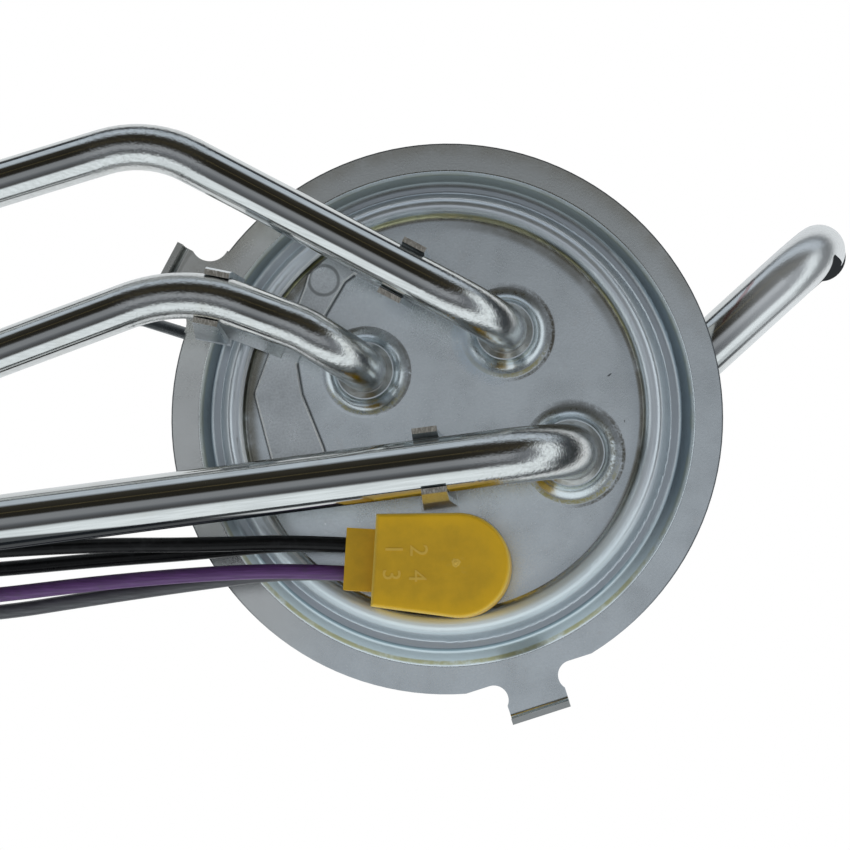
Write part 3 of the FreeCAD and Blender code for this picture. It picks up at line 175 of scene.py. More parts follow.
class Recipe:
    """The node tree of a material, the world or a repeat, with short ways to add nodes."""

    def __init__(self, tree: bpy.types.NodeTree) -> None:
        """Keep the tree."""
        self.tree = tree

    def node(self, kind: str, settings: dict | None = None, inputs: dict | None = None) -> bpy.types.Node:
        """Add a node.

        Args:
            kind: the node's type.
            settings: its properties, set first; "stops" are a ramp's (place, colour) pairs.
            inputs: values or links of its sockets, by name or number.

        Returns:
            The node.
        """
        made = self.tree.nodes.new(kind)
        for name, value in (settings or {}).items():
            if name == "stops":
                self.set_stops(made.color_ramp, value)
            else:
                setattr(made, name, value)
        for name, value in (inputs or {}).items():
            if isinstance(value, Value):
                self.tree.links.new(value.socket, made.inputs[name])
            elif isinstance(value, bpy.types.NodeSocket):
                self.tree.links.new(value, made.inputs[name])
            else:
                made.inputs[name].default_value = value
        return made

    def set_stops(self, ramp: bpy.types.ColorRamp, stops: list[tuple[float, Colour]]) -> None:
        """Give a ramp its stops, in order."""
        for extra in range(len(stops) - 2):
            ramp.elements.new((extra + 1) / len(stops))
        for element, (place, colour) in zip(ramp.elements, stops):
            element.position = place
            element.color = (*colour, 1.0)

    def maths(self, operation: str, *terms: Amount) -> Value:
        """A Math node on values and numbers."""
        made = self.node("ShaderNodeMath", {"operation": operation}, dict(enumerate(terms)))
        return Value(self, made.outputs[0])

    def vector_maths(self, operation: str, inputs: dict) -> bpy.types.NodeOutputs:
        """What a Vector Math node gives."""
        return self.node("ShaderNodeVectorMath", {"operation": operation}, inputs).outputs

    @cached_property
    def at(self) -> Value:
        """The point on the piece, in the frame's millimetres."""
        coordinates = self.node("ShaderNodeTexCoord").outputs["Object"]
        return Value(self, self.vector_maths("SCALE", {0: coordinates, "Scale": 1 / MM})["Vector"])

    @cached_property
    def xyz(self) -> Triple:
        """The three numbers of that point."""
        return self.parts(self.at)

    @cached_property
    def facing(self) -> Triple:
        """The three numbers of the surface's own normal."""
        return self.parts(Value(self, self.node("ShaderNodeNewGeometry").outputs["Normal"]))

    def parts(self, vector: Value) -> Triple:
        """The three numbers of a vector."""
        made = self.node("ShaderNodeSeparateXYZ", None, {0: vector})
        return tuple(Value(self, made.outputs[i]) for i in range(3))

    def vector(self, x: Amount, y: Amount, z: Amount) -> Value:
        """A vector from three numbers."""
        made = self.node("ShaderNodeCombineXYZ", None, {0: x, 1: y, 2: z})
        return Value(self, made.outputs[0])

    def stretch(self, factors: Point, turn_z: float = 0.0) -> Value:
        """The point turned about Z by degrees and then scaled along each axis."""
        turned = self.node("ShaderNodeMapping", {"vector_type": "POINT"},
                           {"Vector": self.at, "Rotation": (0.0, 0.0, math.radians(turn_z))})
        return Value(self, self.vector_maths("MULTIPLY", {0: turned.outputs[0], 1: factors})["Vector"])

    def away(self, point: Point) -> Value:
        """The distance from a point."""
        return Value(self, self.vector_maths("DISTANCE", {0: self.at, 1: point})["Value"])

    def reach(self, x: Value, y: Value) -> Value:
        """The length of a line in plan."""
        return (x * x + y * y) ** 0.5

    def turned(self, centre: Spot, degrees: float) -> tuple[Value, Value]:
        """How far along and across a line in plan the point is.

        Args:
            centre: where the line starts.
            degrees: the line's turn from +X.

        Returns:
            The distance along the line, and the one across it to the left.
        """
        ahead, aside = math.cos(math.radians(degrees)), math.sin(math.radians(degrees))
        x, y = self.xyz[0] - centre[0], self.xyz[1] - centre[1]
        return x * ahead + y * aside, y * ahead - x * aside

    def off_lines(self, bent: tuple[tuple[Spot, ...], ...]) -> Value:
        """The distance in plan from the nearest of some bent lines."""
        nearest = None
        for (ax, ay), (bx, by) in (pair for points in bent for pair in zip(points, points[1:])):
            x, y = self.xyz[0] - ax, self.xyz[1] - ay
            run_x, run_y = bx - ax, by - ay
            share = (x * run_x + y * run_y) * (1 / (run_x ** 2 + run_y ** 2))
            share = share.greater(0.0).smaller(1.0)
            out = self.reach(x - share * run_x, y - share * run_y)
            nearest = out if nearest is None else nearest.smaller(out)
        return nearest

    def noise(self, size: float, detail: float = 3.0, rough: float = 0.55,
              at: Value | None = None) -> Value:
        """Noise between 0 and 1 whose grains are about size millimetres."""
        made = self.node("ShaderNodeTexNoise", None, {
            "Vector": at or self.at, "Scale": 1.0 / size, "Detail": detail, "Roughness": rough})
        return Value(self, made.outputs[0])

    def cells(self, size: float) -> Value:
        """Distance to the nearest of scattered points, in cells of about size millimetres."""
        made = self.node("ShaderNodeTexVoronoi", None, {"Vector": self.at, "Scale": 1.0 / size})
        return Value(self, made.outputs["Distance"])

    def mixed(self, first: Tint, second: Tint, mask: Amount) -> Value:
        """Two colours mixed by a mask: the first where it is 0, the second where it is 1."""
        pair = [(*c, 1.0) if isinstance(c, tuple) else c for c in (first, second)]
        made = self.node("ShaderNodeMix", {"data_type": "RGBA"}, {0: mask, 6: pair[0], 7: pair[1]})
        return Value(self, made.outputs[2])

    def coats(self, tone: Tint, *layers: tuple[Tint, Value]) -> Value:
        """Colours laid over a tone one after another, each by its own mask."""
        for tint, mask in layers:
            tone = self.mixed(tone, tint, mask)
        return tone

    def bump(self, height: Value, depth: float) -> Value:
        """A normal from a height of 0 to 1, whose whole depth is in millimetres."""
        made = self.node("ShaderNodeBump", None,
                         {"Height": height, "Strength": 1.0, "Distance": depth * MM})
        return Value(self, made.outputs[0])


# Finishes


@dataclass(frozen=True)
class Finish:
    """A surface: its colour, how rough and how metallic it is."""

    name: str
    colour: Colour
    roughness: float
    metallic: float = 0.0
    specular: float = 0.5

    def material(self) -> bpy.types.Material:
        """Make the material.

        Returns:
            The material, with its nodes.
        """
        made = bpy.data.materials.new(self.name)
        made.use_nodes = True
        made.diffuse_color = (*self.colour, 1.0)
        nodes = made.node_tree.nodes
        shader = nodes["Principled BSDF"]
        for socket, even in (("Base Color", (*self.colour, 1.0)), ("Roughness", self.roughness),
                             ("Metallic", self.metallic), ("Specular IOR Level", self.specular)):
            shader.inputs[socket].default_value = even
        recipe = Recipe(made.node_tree)
        varied = dict(zip(("Base Color", "Roughness", "Normal"), self.paint(recipe)))
        varied["Metallic"] = self.metal_share(recipe)
        for socket, value in varied.items():
            if value is not None:
                recipe.tree.links.new(value.socket, shader.inputs[socket])
        matt = self.matt_share(recipe)
        if matt is not None:
            dull = recipe.node("ShaderNodeBsdfDiffuse", None, {"Color": (*MATT_BLACK, 1.0)})
            both = recipe.node("ShaderNodeMixShader", None,
                               {0: matt, 1: shader.outputs[0], 2: dull.outputs[0]})
            recipe.tree.links.new(both.outputs[0], nodes["Material Output"].inputs[0])
        return made

    def matt_share(self, recipe: Recipe) -> Value | None:
        """Where the surface is matt black instead, or None where it is nowhere."""
        return None

    def metal_share(self, recipe: Recipe) -> Value | None:
        """How metallic the surface is from place to place, or None where it is even."""
        return None

    def paint(self, recipe: Recipe) -> Triple:
        """What changes over the surface.

        Args:
            recipe: the material's nodes.

        Returns:
            The colour, the roughness and the normal.
        """
        raise NotImplementedError

    def shade(self, share: float) -> Colour:
        """The finish's colour, made lighter or darker."""
        return tuple(min(1.0, c * share) for c in self.colour)


@dataclass(frozen=True)
class CollarLight:
    """Painted shade and highlight round a collar's foot: its radius, half width and strongest side."""

    collar: Spot
    radius: float
    width: float
    toward: float
    tint: Colour
    strength: float


@dataclass(frozen=True)
class PlatedSheet(Finish):
    """Stamped zinc-plated sheet, sandy and a little clouded."""

    grain: float = 0.007
    rings: bool = False
    tints: tuple[CollarLight, ...] = ()
    flecks: tuple[tuple[Spot, float, float], ...] = ()
    tabs: tuple[float, ...] = ()
    tab_reach: float = 0.984

    def painted_ring_light(self, recipe: Recipe, tone: Value, across: Value, aside: Value, ahead: Value,
                      patchy: Value) -> Value:
        """Painted highlights, painted shade and painted reflections on the bead, the wall, the ledge and
        the step, with a browner outer edge at the top, a greyer lip and an olive line.

        Args:
            recipe: the material's nodes.
            tone: the colour so far.
            across: the distance from the plate's middle.
            aside: the share of that distance along +X.
            ahead: the share of it along +Y.
            patchy: clouds that break the marks up.

        Returns:
            The colour.
        """
        front, back = ahead.rise(-0.25, -0.8), ahead.rise(0.45, 0.95)
        rest, left = 1.0 - front, aside.rise(-0.35, -0.75)
        # Masks for painted light: shade on the wall and at the bead's foot, highlights at the top, shade
        # inside the bead.
        wall = across.rise(31.0, 34.8) * across.rise(35.3, 34.9)
        brown = across.band(34.7, 0.3, 0.5).greater(across.band(34.6, 0.5, 1.7) * left)
        step = recipe.mixed((0.17, 0.23, 0.28), (0.40, 0.45, 0.43), back)
        gold_line_highlight = across.band(BEAD_FOOT, 0.1, 0.15) * ahead.rise(0.2, 0.6) * patchy.rise(0.6, 1.2)
        yellow_patch_highlight = across.band(BEAD_FOOT, 0.25, 0.25) * ahead.rise(0.82, 0.96) * patchy.rise(0.5, 1.1)
        inner_shade = across.band(33.9, 0.5, 1.2) * ahead.rise(0.25, 0.7) * aside.rise(-0.1, 0.35)
        flat = across.rise(43.6, 44.2)
        outer_brown_top = across.rise(45.4, 48.9) * ahead.rise(0.2, 0.7) * patchy.rise(0.5, 1.2)
        olive = across.band(43.45, 0.2, 0.3) * patchy.rise(0.7, 1.1)
        return recipe.coats(
            tone,
            # Painted shade on the wall, and brown painted shade at the bead's foot, wider on the left.
            ((0.42, 0.46, 0.49), wall * 0.5),
            ((0.17, 0.155, 0.11), brown * rest * patchy.rise(0.4, 1.1) * 0.85),
            # Painted highlights on the bead's flank, white all round and cyan-white at the front.
            ((0.88, 0.93, 0.97), across.band(37.2, 1.0, 0.5) * 0.85),
            ((0.79, 0.89, 0.93), across.band(37.0, 1.3, 0.3) * front * 0.8),
            # Painted reflection tones: on the ledge, the step's painted shade (navy at the sides,
            # grey-green at the top), a highlight line at the step's foot at the back, cyan at the front and
            # a dark blue shade line at the front.
            ((0.50, 0.55, 0.60), across.band(LEDGE, 0.45, 0.4) * 0.8),
            (step, across.band(42.4, 0.85, 0.45) * rest * 0.85),
            ((0.86, 0.90, 0.92), across.band(43.6, 0.15, 0.25) * back * 0.7),
            ((0.62, 0.73, 0.77), across.band(42.2, 0.7, 0.5) * front * 0.7),
            ((0.17, 0.28, 0.33), across.band(41.15, 0.12, 0.22) * front * 0.75),
            # Painted highlights: white on the bead's left edge, and a yellow line and a yellow patch at the
            # bead's foot at the top.
            ((0.97, 0.99, 1.0), across.band(BEAD_EDGE, 0.2, 0.12) * left * 0.9),
            ((0.82, 0.78, 0.42), gold_line_highlight * 0.8),
            ((0.92, 0.88, 0.55), yellow_patch_highlight * 0.85),
            # Painted shade inside the bead on the upper right, and in the lip's fold at the front.
            ((0.20, 0.185, 0.14), inner_shade * patchy.rise(0.4, 1.1) * 0.65),
            ((0.20, 0.20, 0.19), across.band(LIP_FOLD, 0.05, 0.2) * front * 0.6),
            # The flat ring painted lighter on the left and darker towards the top.
            ((0.74, 0.735, 0.70), flat * left * 0.7),
            ((0.60, 0.60, 0.56), flat * ahead.rise(0.1, 0.95) * 0.5),
            # Browner towards the outer edge at the top, a greyer lip beyond the fold, and an olive line at
            # the step's foot.
            ((0.40, 0.375, 0.31), outer_brown_top * 0.6),
            ((0.46, 0.46, 0.43), across.rise(LIP_FOLD + 0.2, LIP_FOLD + 0.5) * 0.75),
            ((0.40, 0.37, 0.14), olive * (0.25 + front * 0.55)))

    def metal_share(self, recipe: Recipe) -> Value | None:
        """Less metallic on the bead's front and its left edge, so their painted highlights show as diffuse
        light.
        """
        if not self.rings:
            return None
        x, y, _ = recipe.xyz
        across = recipe.reach(x, y)
        front = across.band(36.9, 1.5, 0.3) * (y / across).rise(-0.1, -0.6) * 0.62
        left = across.band(BEAD_EDGE, 0.2, 0.12) * (x / across).rise(-0.35, -0.75) * 0.85
        return 1.0 - front.greater(left)

    def paint(self, recipe: Recipe) -> Triple:
        """Sandy grain, clouds, drawing rings with painted light on the pressed rings, painted shade and
        highlights round the collar feet, flecks, a dark line along the rim and painted shadow beside the
        spines.
        """
        x, y, _ = recipe.xyz
        sand = recipe.noise(0.42, 3.0, 0.65)
        cloud = recipe.noise(9.0, 4.0, 0.6)
        blotch = recipe.noise(3.2, 5.0, 0.7, recipe.stretch((1.0, 1.0, 1.0), 40.0))
        tone = recipe.coats(recipe.mixed(self.shade(0.95), self.shade(1.05), sand.rise(0.3, 0.7)),
                            (self.shade(0.8), cloud.rise(0.42, 0.75) * 0.45),
                            ((0.68, 0.65, 0.63), blotch.rise(0.55, 0.8) * 0.3))
        roughness = self.roughness + (sand - 0.5) * 0.12 + (cloud - 0.5) * 0.14
        height = sand
        across = recipe.reach(x, y)
        if self.rings:
            streak = recipe.noise(1.0, 2.0, at=recipe.vector(
                across * 5.0, recipe.maths("ARCTAN2", y, x) * 3.0, 0.0))
            drawn = across.rise(34.2, 35.2) * across.rise(44.5, 43.0)
            height = height + (streak - 0.5) * drawn * 0.7
            tone = recipe.mixed(tone, (0.36, 0.38, 0.39), drawn * streak.rise(0.5, 0.85) * 0.3)
            tone = self.painted_ring_light(recipe, tone, across, x / across, y / across, blotch + cloud)
            roughness = roughness + drawn * 0.12
        # Painted shade and painted highlights round the collar feet.
        for tone_mark in self.tints:
            along, over = recipe.turned(tone_mark.collar, tone_mark.toward)
            out = recipe.reach(along, over)
            mask = out.band(tone_mark.radius, tone_mark.width, tone_mark.width * 1.6)
            mask = mask * (along / out.greater(0.1)).rise(0.1, 0.85)
            mask = mask * (sand + blotch).rise(0.7, 1.15) * tone_mark.strength
            tone = recipe.mixed(tone, tone_mark.tint, mask)
            roughness = roughness + mask * 0.2
        for centre, half, turn in self.flecks:
            along, over = recipe.turned(centre, turn)
            spot = recipe.reach(along, over * 3.0) + (sand - 0.5) * half
            tone = recipe.mixed(tone, (0.05, 0.05, 0.055), spot.rise(half, half * 0.5) * 0.85)
        if self.rings:
            rim = across.band(RIM_RADIUS, 0.14, 0.16) * (y / across).rise(-0.85, -0.5)
            for turn in self.tabs:
                ahead = recipe.turned((0.0, 0.0), turn)[0] / across
                rim = rim * ahead.rise(self.tab_reach + 0.004, self.tab_reach)
            shadow = recipe.off_lines(SPINE_EDGES).rise(0.5, 0.15)
            tone = recipe.coats(tone, ((0.07, 0.075, 0.075), shadow * 0.85),
                                ((0.09, 0.10, 0.105), rim * 0.85))
        return tone, roughness, recipe.bump(height, self.grain)


@dataclass(frozen=True)
class DrawnTube(Finish):
    """Bright plated tube with fine streaks along it, grainy where it is bent."""

    bends: tuple[tuple[Point, float], ...] = ()
    turn: float = 0.0
    outlet: bool = False
    dark_reflection_below: float = -29.0
    crescent_rise: float = 15.5
    bright_end_from: float = 44.0
    leg: Spot = (67.0, 31.5)
    smear: Spot = (52.2, 21.4)
    run: float = 54.0

    def above_dark_reflection(self, recipe: Recipe) -> Value:
        """The height over the edge of the painted dark reflection on the outlet leg, which rises on the
        leg's right side.
        """
        along, over = recipe.turned(self.leg, self.run)
        rise = over.rise(-1.8, -3.0) * along.rise(1.9, 0.7) * self.crescent_rise
        return recipe.xyz[2] - rise - self.dark_reflection_below

    def bright_end(self, recipe: Recipe) -> Value:
        """A mask of the outlet end that is painted near-white as a highlight."""
        return recipe.xyz[0].rise(self.bright_end_from, self.bright_end_from + 14.0)

    def metal_share(self, recipe: Recipe) -> Value | None:
        """The outlet end is less metallic, most on its sides, so its painted near-white highlight shows."""
        if not self.outlet:
            return None
        side = recipe.facing[2].rise(0.14, 0.0)
        bare = self.above_dark_reflection(recipe).rise(-0.4, 0.4)
        return 1.0 - self.bright_end(recipe) * bare * (0.3 + side * 0.5)

    def matt_share(self, recipe: Recipe) -> Value | None:
        """Painted dark reflection in matt black: on the outlet leg's lower end, and the leads' likeness low
        on the tube's side.
        """
        if not self.outlet:
            return None
        x = recipe.xyz[0]
        under = (0.0 - recipe.facing[1] - (x + 80.0) * 0.0066).rise(0.53, 0.59) * x.rise(10.0, 0.0)
        return (self.above_dark_reflection(recipe).rise(0.25, -0.25) * 0.97).greater(under * 0.9)

    def paint(self, recipe: Recipe) -> Triple:
        """Streaks along the tube, orange peel round each bend, and painted shade on the tube's upward
        faces.
        """
        fine = recipe.noise(0.3, 2.0)
        streak = recipe.noise(0.45, at=recipe.stretch((0.05, 1.0, 1.0), -self.turn))
        cloud = recipe.noise(7.0)
        peel = recipe.noise(0.46, 3.0, 0.6)
        bent = fine * 0.0
        for centre, reach in self.bends:
            bent = bent.greater(recipe.away(centre).rise(reach, reach * 0.55))
        # Painted shade: the tube's upward faces are darker, less so at the bends.
        top = recipe.facing[2].rise(0.88, 0.985)
        tone = recipe.coats(recipe.mixed(self.shade(0.9), self.shade(1.06), streak.rise(0.3, 0.7)),
                            ((0.55, 0.52, 0.45), cloud.rise(0.55, 0.8) * 0.3),
                            ((0.45, 0.45, 0.44), bent * peel.rise(0.5, 0.75) * 0.5),
                            (self.shade(0.52), top * (1.0 - bent * 0.4)))
        roughness = self.roughness + (streak - 0.5) * 0.08 + bent * 0.05
        if self.outlet:
            # Painted highlight: the outlet end is painted near-white and a little rougher; a red smear lies
            # along it.
            bright_end = self.bright_end(recipe)
            roughness = roughness + bright_end * 0.07
            along, over = recipe.turned(self.smear, self.run)
            red = (over + (cloud - 0.5) * 1.6).band(0.0, 0.12, 0.3) * along.band(0.0, 4.0, 1.5)
            tone = recipe.coats(tone, ((0.94, 0.95, 0.95), bright_end * 0.8),
                                ((0.42, 0.11, 0.10), red * 0.55))
        height = streak * 0.2 + peel * bent * 4.0 + fine * 0.06
        return tone, roughness, recipe.bump(height, 0.012)


@dataclass(frozen=True)
class BracketSteel(Finish):
    """The tube bracket's plated strip: sheared finger tips and a pressed weld mark."""

    tip_height: float = 24.5
    spine_top: float = 8.6
    weld: Spot = (-21.2, 23.6)
    weld_radius: float = 2.6

    def metal_share(self, recipe: Recipe) -> Value | None:
        """Less metallic on the painted highlight along the spines' upper edges."""
        return 1.0 - self.edge_highlight(recipe)

    def edge_highlight(self, recipe: Recipe) -> Value:
        """A mask of the painted highlight along the spines' upper edges."""
        near = recipe.off_lines(SPINE_EDGES).rise(0.36, 0.24)
        return near * recipe.facing[2].rise(0.4, 0.6) * recipe.xyz[2].band(self.spine_top, 0.3, 0.1)

    def paint(self, recipe: Recipe) -> Triple:
        """Grain, brown sheared tips, a darker ring round the weld and a painted highlight along the spines'
        edges.
        """
        z = recipe.xyz[2]
        sand = recipe.noise(0.4, 3.0, 0.65)
        cloud = recipe.noise(4.0, 4.0)
        tear = recipe.noise(0.32, 4.0, 0.7, recipe.stretch((1.0, 0.35, 0.3)))
        tip = z.rise(self.tip_height, self.tip_height + 0.3) * recipe.facing[2].rise(0.5, 0.8)
        torn = recipe.mixed((0.34, 0.30, 0.24), (0.70, 0.66, 0.58), tear.rise(0.42, 0.62))
        out = recipe.reach(*recipe.turned(self.weld, 0.0))
        ring = out.band(self.weld_radius, 0.12, 0.3) * z.rise(12.0, 10.0)
        tone = recipe.coats(recipe.mixed(self.shade(0.9), self.shade(1.08), sand.rise(0.3, 0.7)),
                            ((0.40, 0.42, 0.43), cloud.rise(0.5, 0.8) * 0.45), (torn, tip * 0.9),
                            ((0.20, 0.21, 0.21), ring * 0.7),
                            ((0.95, 0.96, 0.95), self.edge_highlight(recipe)))
        roughness = self.roughness + (cloud - 0.5) * 0.2 + tip * 0.1
        return tone, roughness, recipe.bump(sand + tear * tip * 2.0, 0.012)


@dataclass(frozen=True)
class BrazeMetal(Finish):
    """Brazing alloy, lumpy and stained by its flux."""

    def paint(self, recipe: Recipe) -> Triple:
        """Small lumps and brown stains."""
        tone_mark = recipe.noise(1.6, 5.0, 0.7)
        tone = recipe.mixed(self.colour, (0.24, 0.22, 0.17), tone_mark.rise(0.45, 0.7) * 0.6)
        return tone, self.roughness + (tone_mark - 0.5) * 0.3, recipe.bump(recipe.noise(0.8), 0.08)


@dataclass(frozen=True)
class Moulded(Finish):
    """Satin moulded plastic with a fine spark-eroded texture."""

    def paint(self, recipe: Recipe) -> Triple:
        """Fine texture, faint flow clouds and rubbed spots."""
        flow = recipe.noise(6.0, 4.0)
        rub = recipe.noise(1.6, 5.0, 0.7, recipe.stretch((1.0, 1.0, 0.4)))
        tone = recipe.coats(recipe.mixed(self.shade(0.9), self.shade(1.1), flow.rise(0.3, 0.7)),
                            (self.shade(1.5), rub.rise(0.66, 0.85) * 0.25))
        roughness = self.roughness + (flow - 0.5) * 0.12 - rub.rise(0.6, 0.8) * 0.1
        return tone, roughness, recipe.bump(recipe.noise(0.22, 2.0, 0.6), 0.006)


@dataclass(frozen=True)
class AmberMoulding(Finish):
    """The connector's ochre plastic, with painted light: lighter and more orange towards its rim, a painted
    highlight on its rounded top edge; darker lower down and clouded round its gate.
    """

    rim: Colour = (0.86, 0.50, 0.012)
    edge: Colour = (0.85, 0.62, 0.12)
    centre: Spot = (3.05, -26.75)
    round_radius: float = 8.9
    flat_half: float = 7.9
    flat_reach: float = 14.4
    turn: float = -3.4
    gate: Spot = (2.6, -26.6)

    def paint(self, recipe: Recipe) -> Triple:
        """Painted lighter rim and top edge, darker lower down, a cloudy middle, and a swirl at the gate."""
        z, up = recipe.xyz[2], recipe.facing[2]
        along, over = recipe.turned(self.centre, self.turn)
        taper = (self.round_radius - self.flat_half) / self.flat_reach
        half = self.round_radius + along.smaller(0.0) * taper
        share = recipe.reach(along.greater(0.0), over) / half
        cloud = recipe.noise(3.5, 5.0, 0.6)
        fine = recipe.noise(0.35, 3.0, 0.6)
        swirl = recipe.noise(0.7, 5.0, 0.75, recipe.stretch((0.5, 1.0, 1.0), 20.0))
        near_gate = recipe.reach(*recipe.turned(self.gate, 0.0)).rise(3.6, 0.4)
        tone = recipe.coats(recipe.mixed(self.shade(0.92), self.shade(1.06), cloud.rise(0.3, 0.7)),
                            # Painted light: the rim lighter and more orange, and a highlight where the top
                            # rounds over; darker lower down.
                            (self.rim, (share + (cloud - 0.5) * 0.25).rise(0.5, 1.02) * 0.75),
                            (self.edge, up.rise(0.97, 0.6) * z.rise(22.5, 23.5) * 0.7),
                            ((0.64, 0.44, 0.08), near_gate * swirl.rise(0.5, 0.7) * 0.5),
                            (self.shade(0.9), z.rise(20.0, 9.5) * 0.4))
        roughness = self.roughness + (cloud - 0.5) * 0.15 + near_gate * 0.1
        return tone, roughness, recipe.bump(fine + swirl * near_gate * 2.0, 0.008)


@dataclass(frozen=True)
class Insulation(Finish):
    """Extruded wire insulation with faint draw lines and dull patches."""

    def paint(self, recipe: Recipe) -> Triple:
        """Draw lines, dust and dull patches."""
        line = recipe.noise(0.3, 2.0, at=recipe.stretch((0.06, 1.0, 1.0)))
        dull = recipe.noise(2.2, 4.0, 0.65)
        tone = recipe.coats(recipe.mixed(self.shade(0.85), self.shade(1.25), line.rise(0.35, 0.7)),
                            ((0.06, 0.06, 0.063), dull.rise(0.5, 0.8) * 0.3))
        return tone, self.roughness + (dull - 0.5) * 0.25, recipe.bump(line + dull, 0.01)


@dataclass(frozen=True)
class SoftRubber(Finish):
    """Matt rubber with a dusty bloom."""

    def paint(self, recipe: Recipe) -> Triple:
        """Bloom in clouds and fine pores."""
        cloud = recipe.noise(5.0, 5.0, 0.65)
        tone = recipe.mixed(self.colour, (0.16, 0.16, 0.155), cloud.rise(0.45, 0.8) * 0.35)
        return tone, self.roughness + (cloud - 0.5) * 0.12, recipe.bump(recipe.noise(0.3, 2.0), 0.012)


@dataclass(frozen=True)
class CellFoam(Finish):
    """Closed-cell float foam: a dark skin of tiny cells."""

    def paint(self, recipe: Recipe) -> Triple:
        """Tiny cells, larger pits and a greyish bloom."""
        cell, pit, bloom = recipe.cells(0.45), recipe.cells(1.7), recipe.noise(6.0, 4.0)
        tone = recipe.coats(recipe.mixed(self.shade(0.6), self.shade(1.35), cell.rise(0.1, 0.55)),
                            ((0.11, 0.11, 0.11), bloom.rise(0.5, 0.8) * 0.5),
                            ((0.01, 0.01, 0.01), pit.rise(0.24, 0.12) * 0.6))
        return tone, self.roughness + (bloom - 0.5) * 0.1, recipe.bump(cell + pit.rise(0.1, 0.3), 0.06)


@dataclass(frozen=True)
class PlatedContact(Finish):
    """Tin-plated brass, a little tarnished."""

    def paint(self, recipe: Recipe) -> Triple:
        """Stamping lines and tarnish."""
        line = recipe.noise(0.3, 2.0, at=recipe.stretch((1.0, 1.0, 0.1)))
        tarnish = recipe.noise(1.4, 4.0)
        tone = recipe.coats(recipe.mixed(self.shade(0.92), self.shade(1.05), line.rise(0.3, 0.7)),
                            ((0.42, 0.33, 0.16), tarnish.rise(0.5, 0.8) * 0.5))
        return tone, self.roughness + (tarnish - 0.5) * 0.25, recipe.bump(line, 0.006)


@dataclass(frozen=True)
class FiredCard(Finish):
    """Fired ceramic with a slight glaze."""

    def paint(self, recipe: Recipe) -> Triple:
        """Fine grain and faint clouds."""
        grain = recipe.noise(0.25, 2.0)
        tone = recipe.mixed(self.shade(0.94), self.shade(1.04), recipe.noise(4.0).rise(0.35, 0.7))
        return tone, self.roughness + (grain - 0.5) * 0.2, recipe.bump(grain, 0.006)


# Matt black for the painted dark reflection on the supply tube.
MATT_BLACK = (0.009, 0.011, 0.014)
# Radii on the plate, in millimetres.
BEAD_FOOT, BEAD_EDGE, LEDGE, RIM_RADIUS, LIP_FOLD = 35.0, 35.65, 40.4, 49.0, 53.9
SPINE_EDGES = (
    ((-30.9, 10.4), (-33.3, 3.6), (-30.2, -8.0), (-29.0, -13.2)),
    ((-19.4, -12.6), (-21.2, -5.8), (-25.0, 3.6), (-25.9, 8.9)),
    ((-23.9, 24.6), (-24.5, 22.4), (-26.6, 17.0)),
    ((-22.2, 13.2), (-21.0, 17.4), (-17.5, 23.4), (-14.0, 26.0)),
)
SUPPLY_COLLAR, RETURN_COLLAR, VENT_COLLAR = (22.2, -6.95), (10.7, 14.4), (-13.8, 7.5)
# Painted light round the collar feet: a grey painted shade on one side, a dark brown painted shadow line at
# the edge, a yellow painted glint below, a brown painted shade on the supply collar's right, a painted
# lighter side on the return collar and a painted darker side on the vent collar.
SIDE_SHADE, EDGE_SHADOW, COLLAR_GLINT = (0.36, 0.37, 0.37), (0.15, 0.13, 0.09), (0.52, 0.46, 0.18)
COLLAR_LIGHT = (
    CollarLight(SUPPLY_COLLAR, 8.5, 0.5, 50.0, SIDE_SHADE, 0.85),
    CollarLight(SUPPLY_COLLAR, 9.2, 0.15, -20.0, EDGE_SHADOW, 0.85),
    CollarLight(SUPPLY_COLLAR, 8.4, 0.2, -85.0, (0.52, 0.46, 0.16), 0.9),
    CollarLight(SUPPLY_COLLAR, 7.4, 0.3, 5.0, (0.17, 0.15, 0.10), 0.8),
    CollarLight(RETURN_COLLAR, 7.7, 0.5, 30.0, SIDE_SHADE, 0.85),
    CollarLight(RETURN_COLLAR, 8.4, 0.15, -15.0, EDGE_SHADOW, 0.85),
    CollarLight(RETURN_COLLAR, 7.6, 0.2, -90.0, COLLAR_GLINT, 0.85),
    CollarLight(RETURN_COLLAR, 8.0, 0.8, 200.0, (0.72, 0.82, 0.90), 0.7),
    CollarLight(VENT_COLLAR, 7.7, 0.15, -10.0, EDGE_SHADOW, 0.8),
    CollarLight(VENT_COLLAR, 7.2, 0.4, 20.0, (0.42, 0.43, 0.43), 0.8),
    CollarLight(VENT_COLLAR, 7.2, 0.2, -90.0, COLLAR_GLINT, 0.8),
)
TUBE_COLOUR = (0.72, 0.73, 0.72)

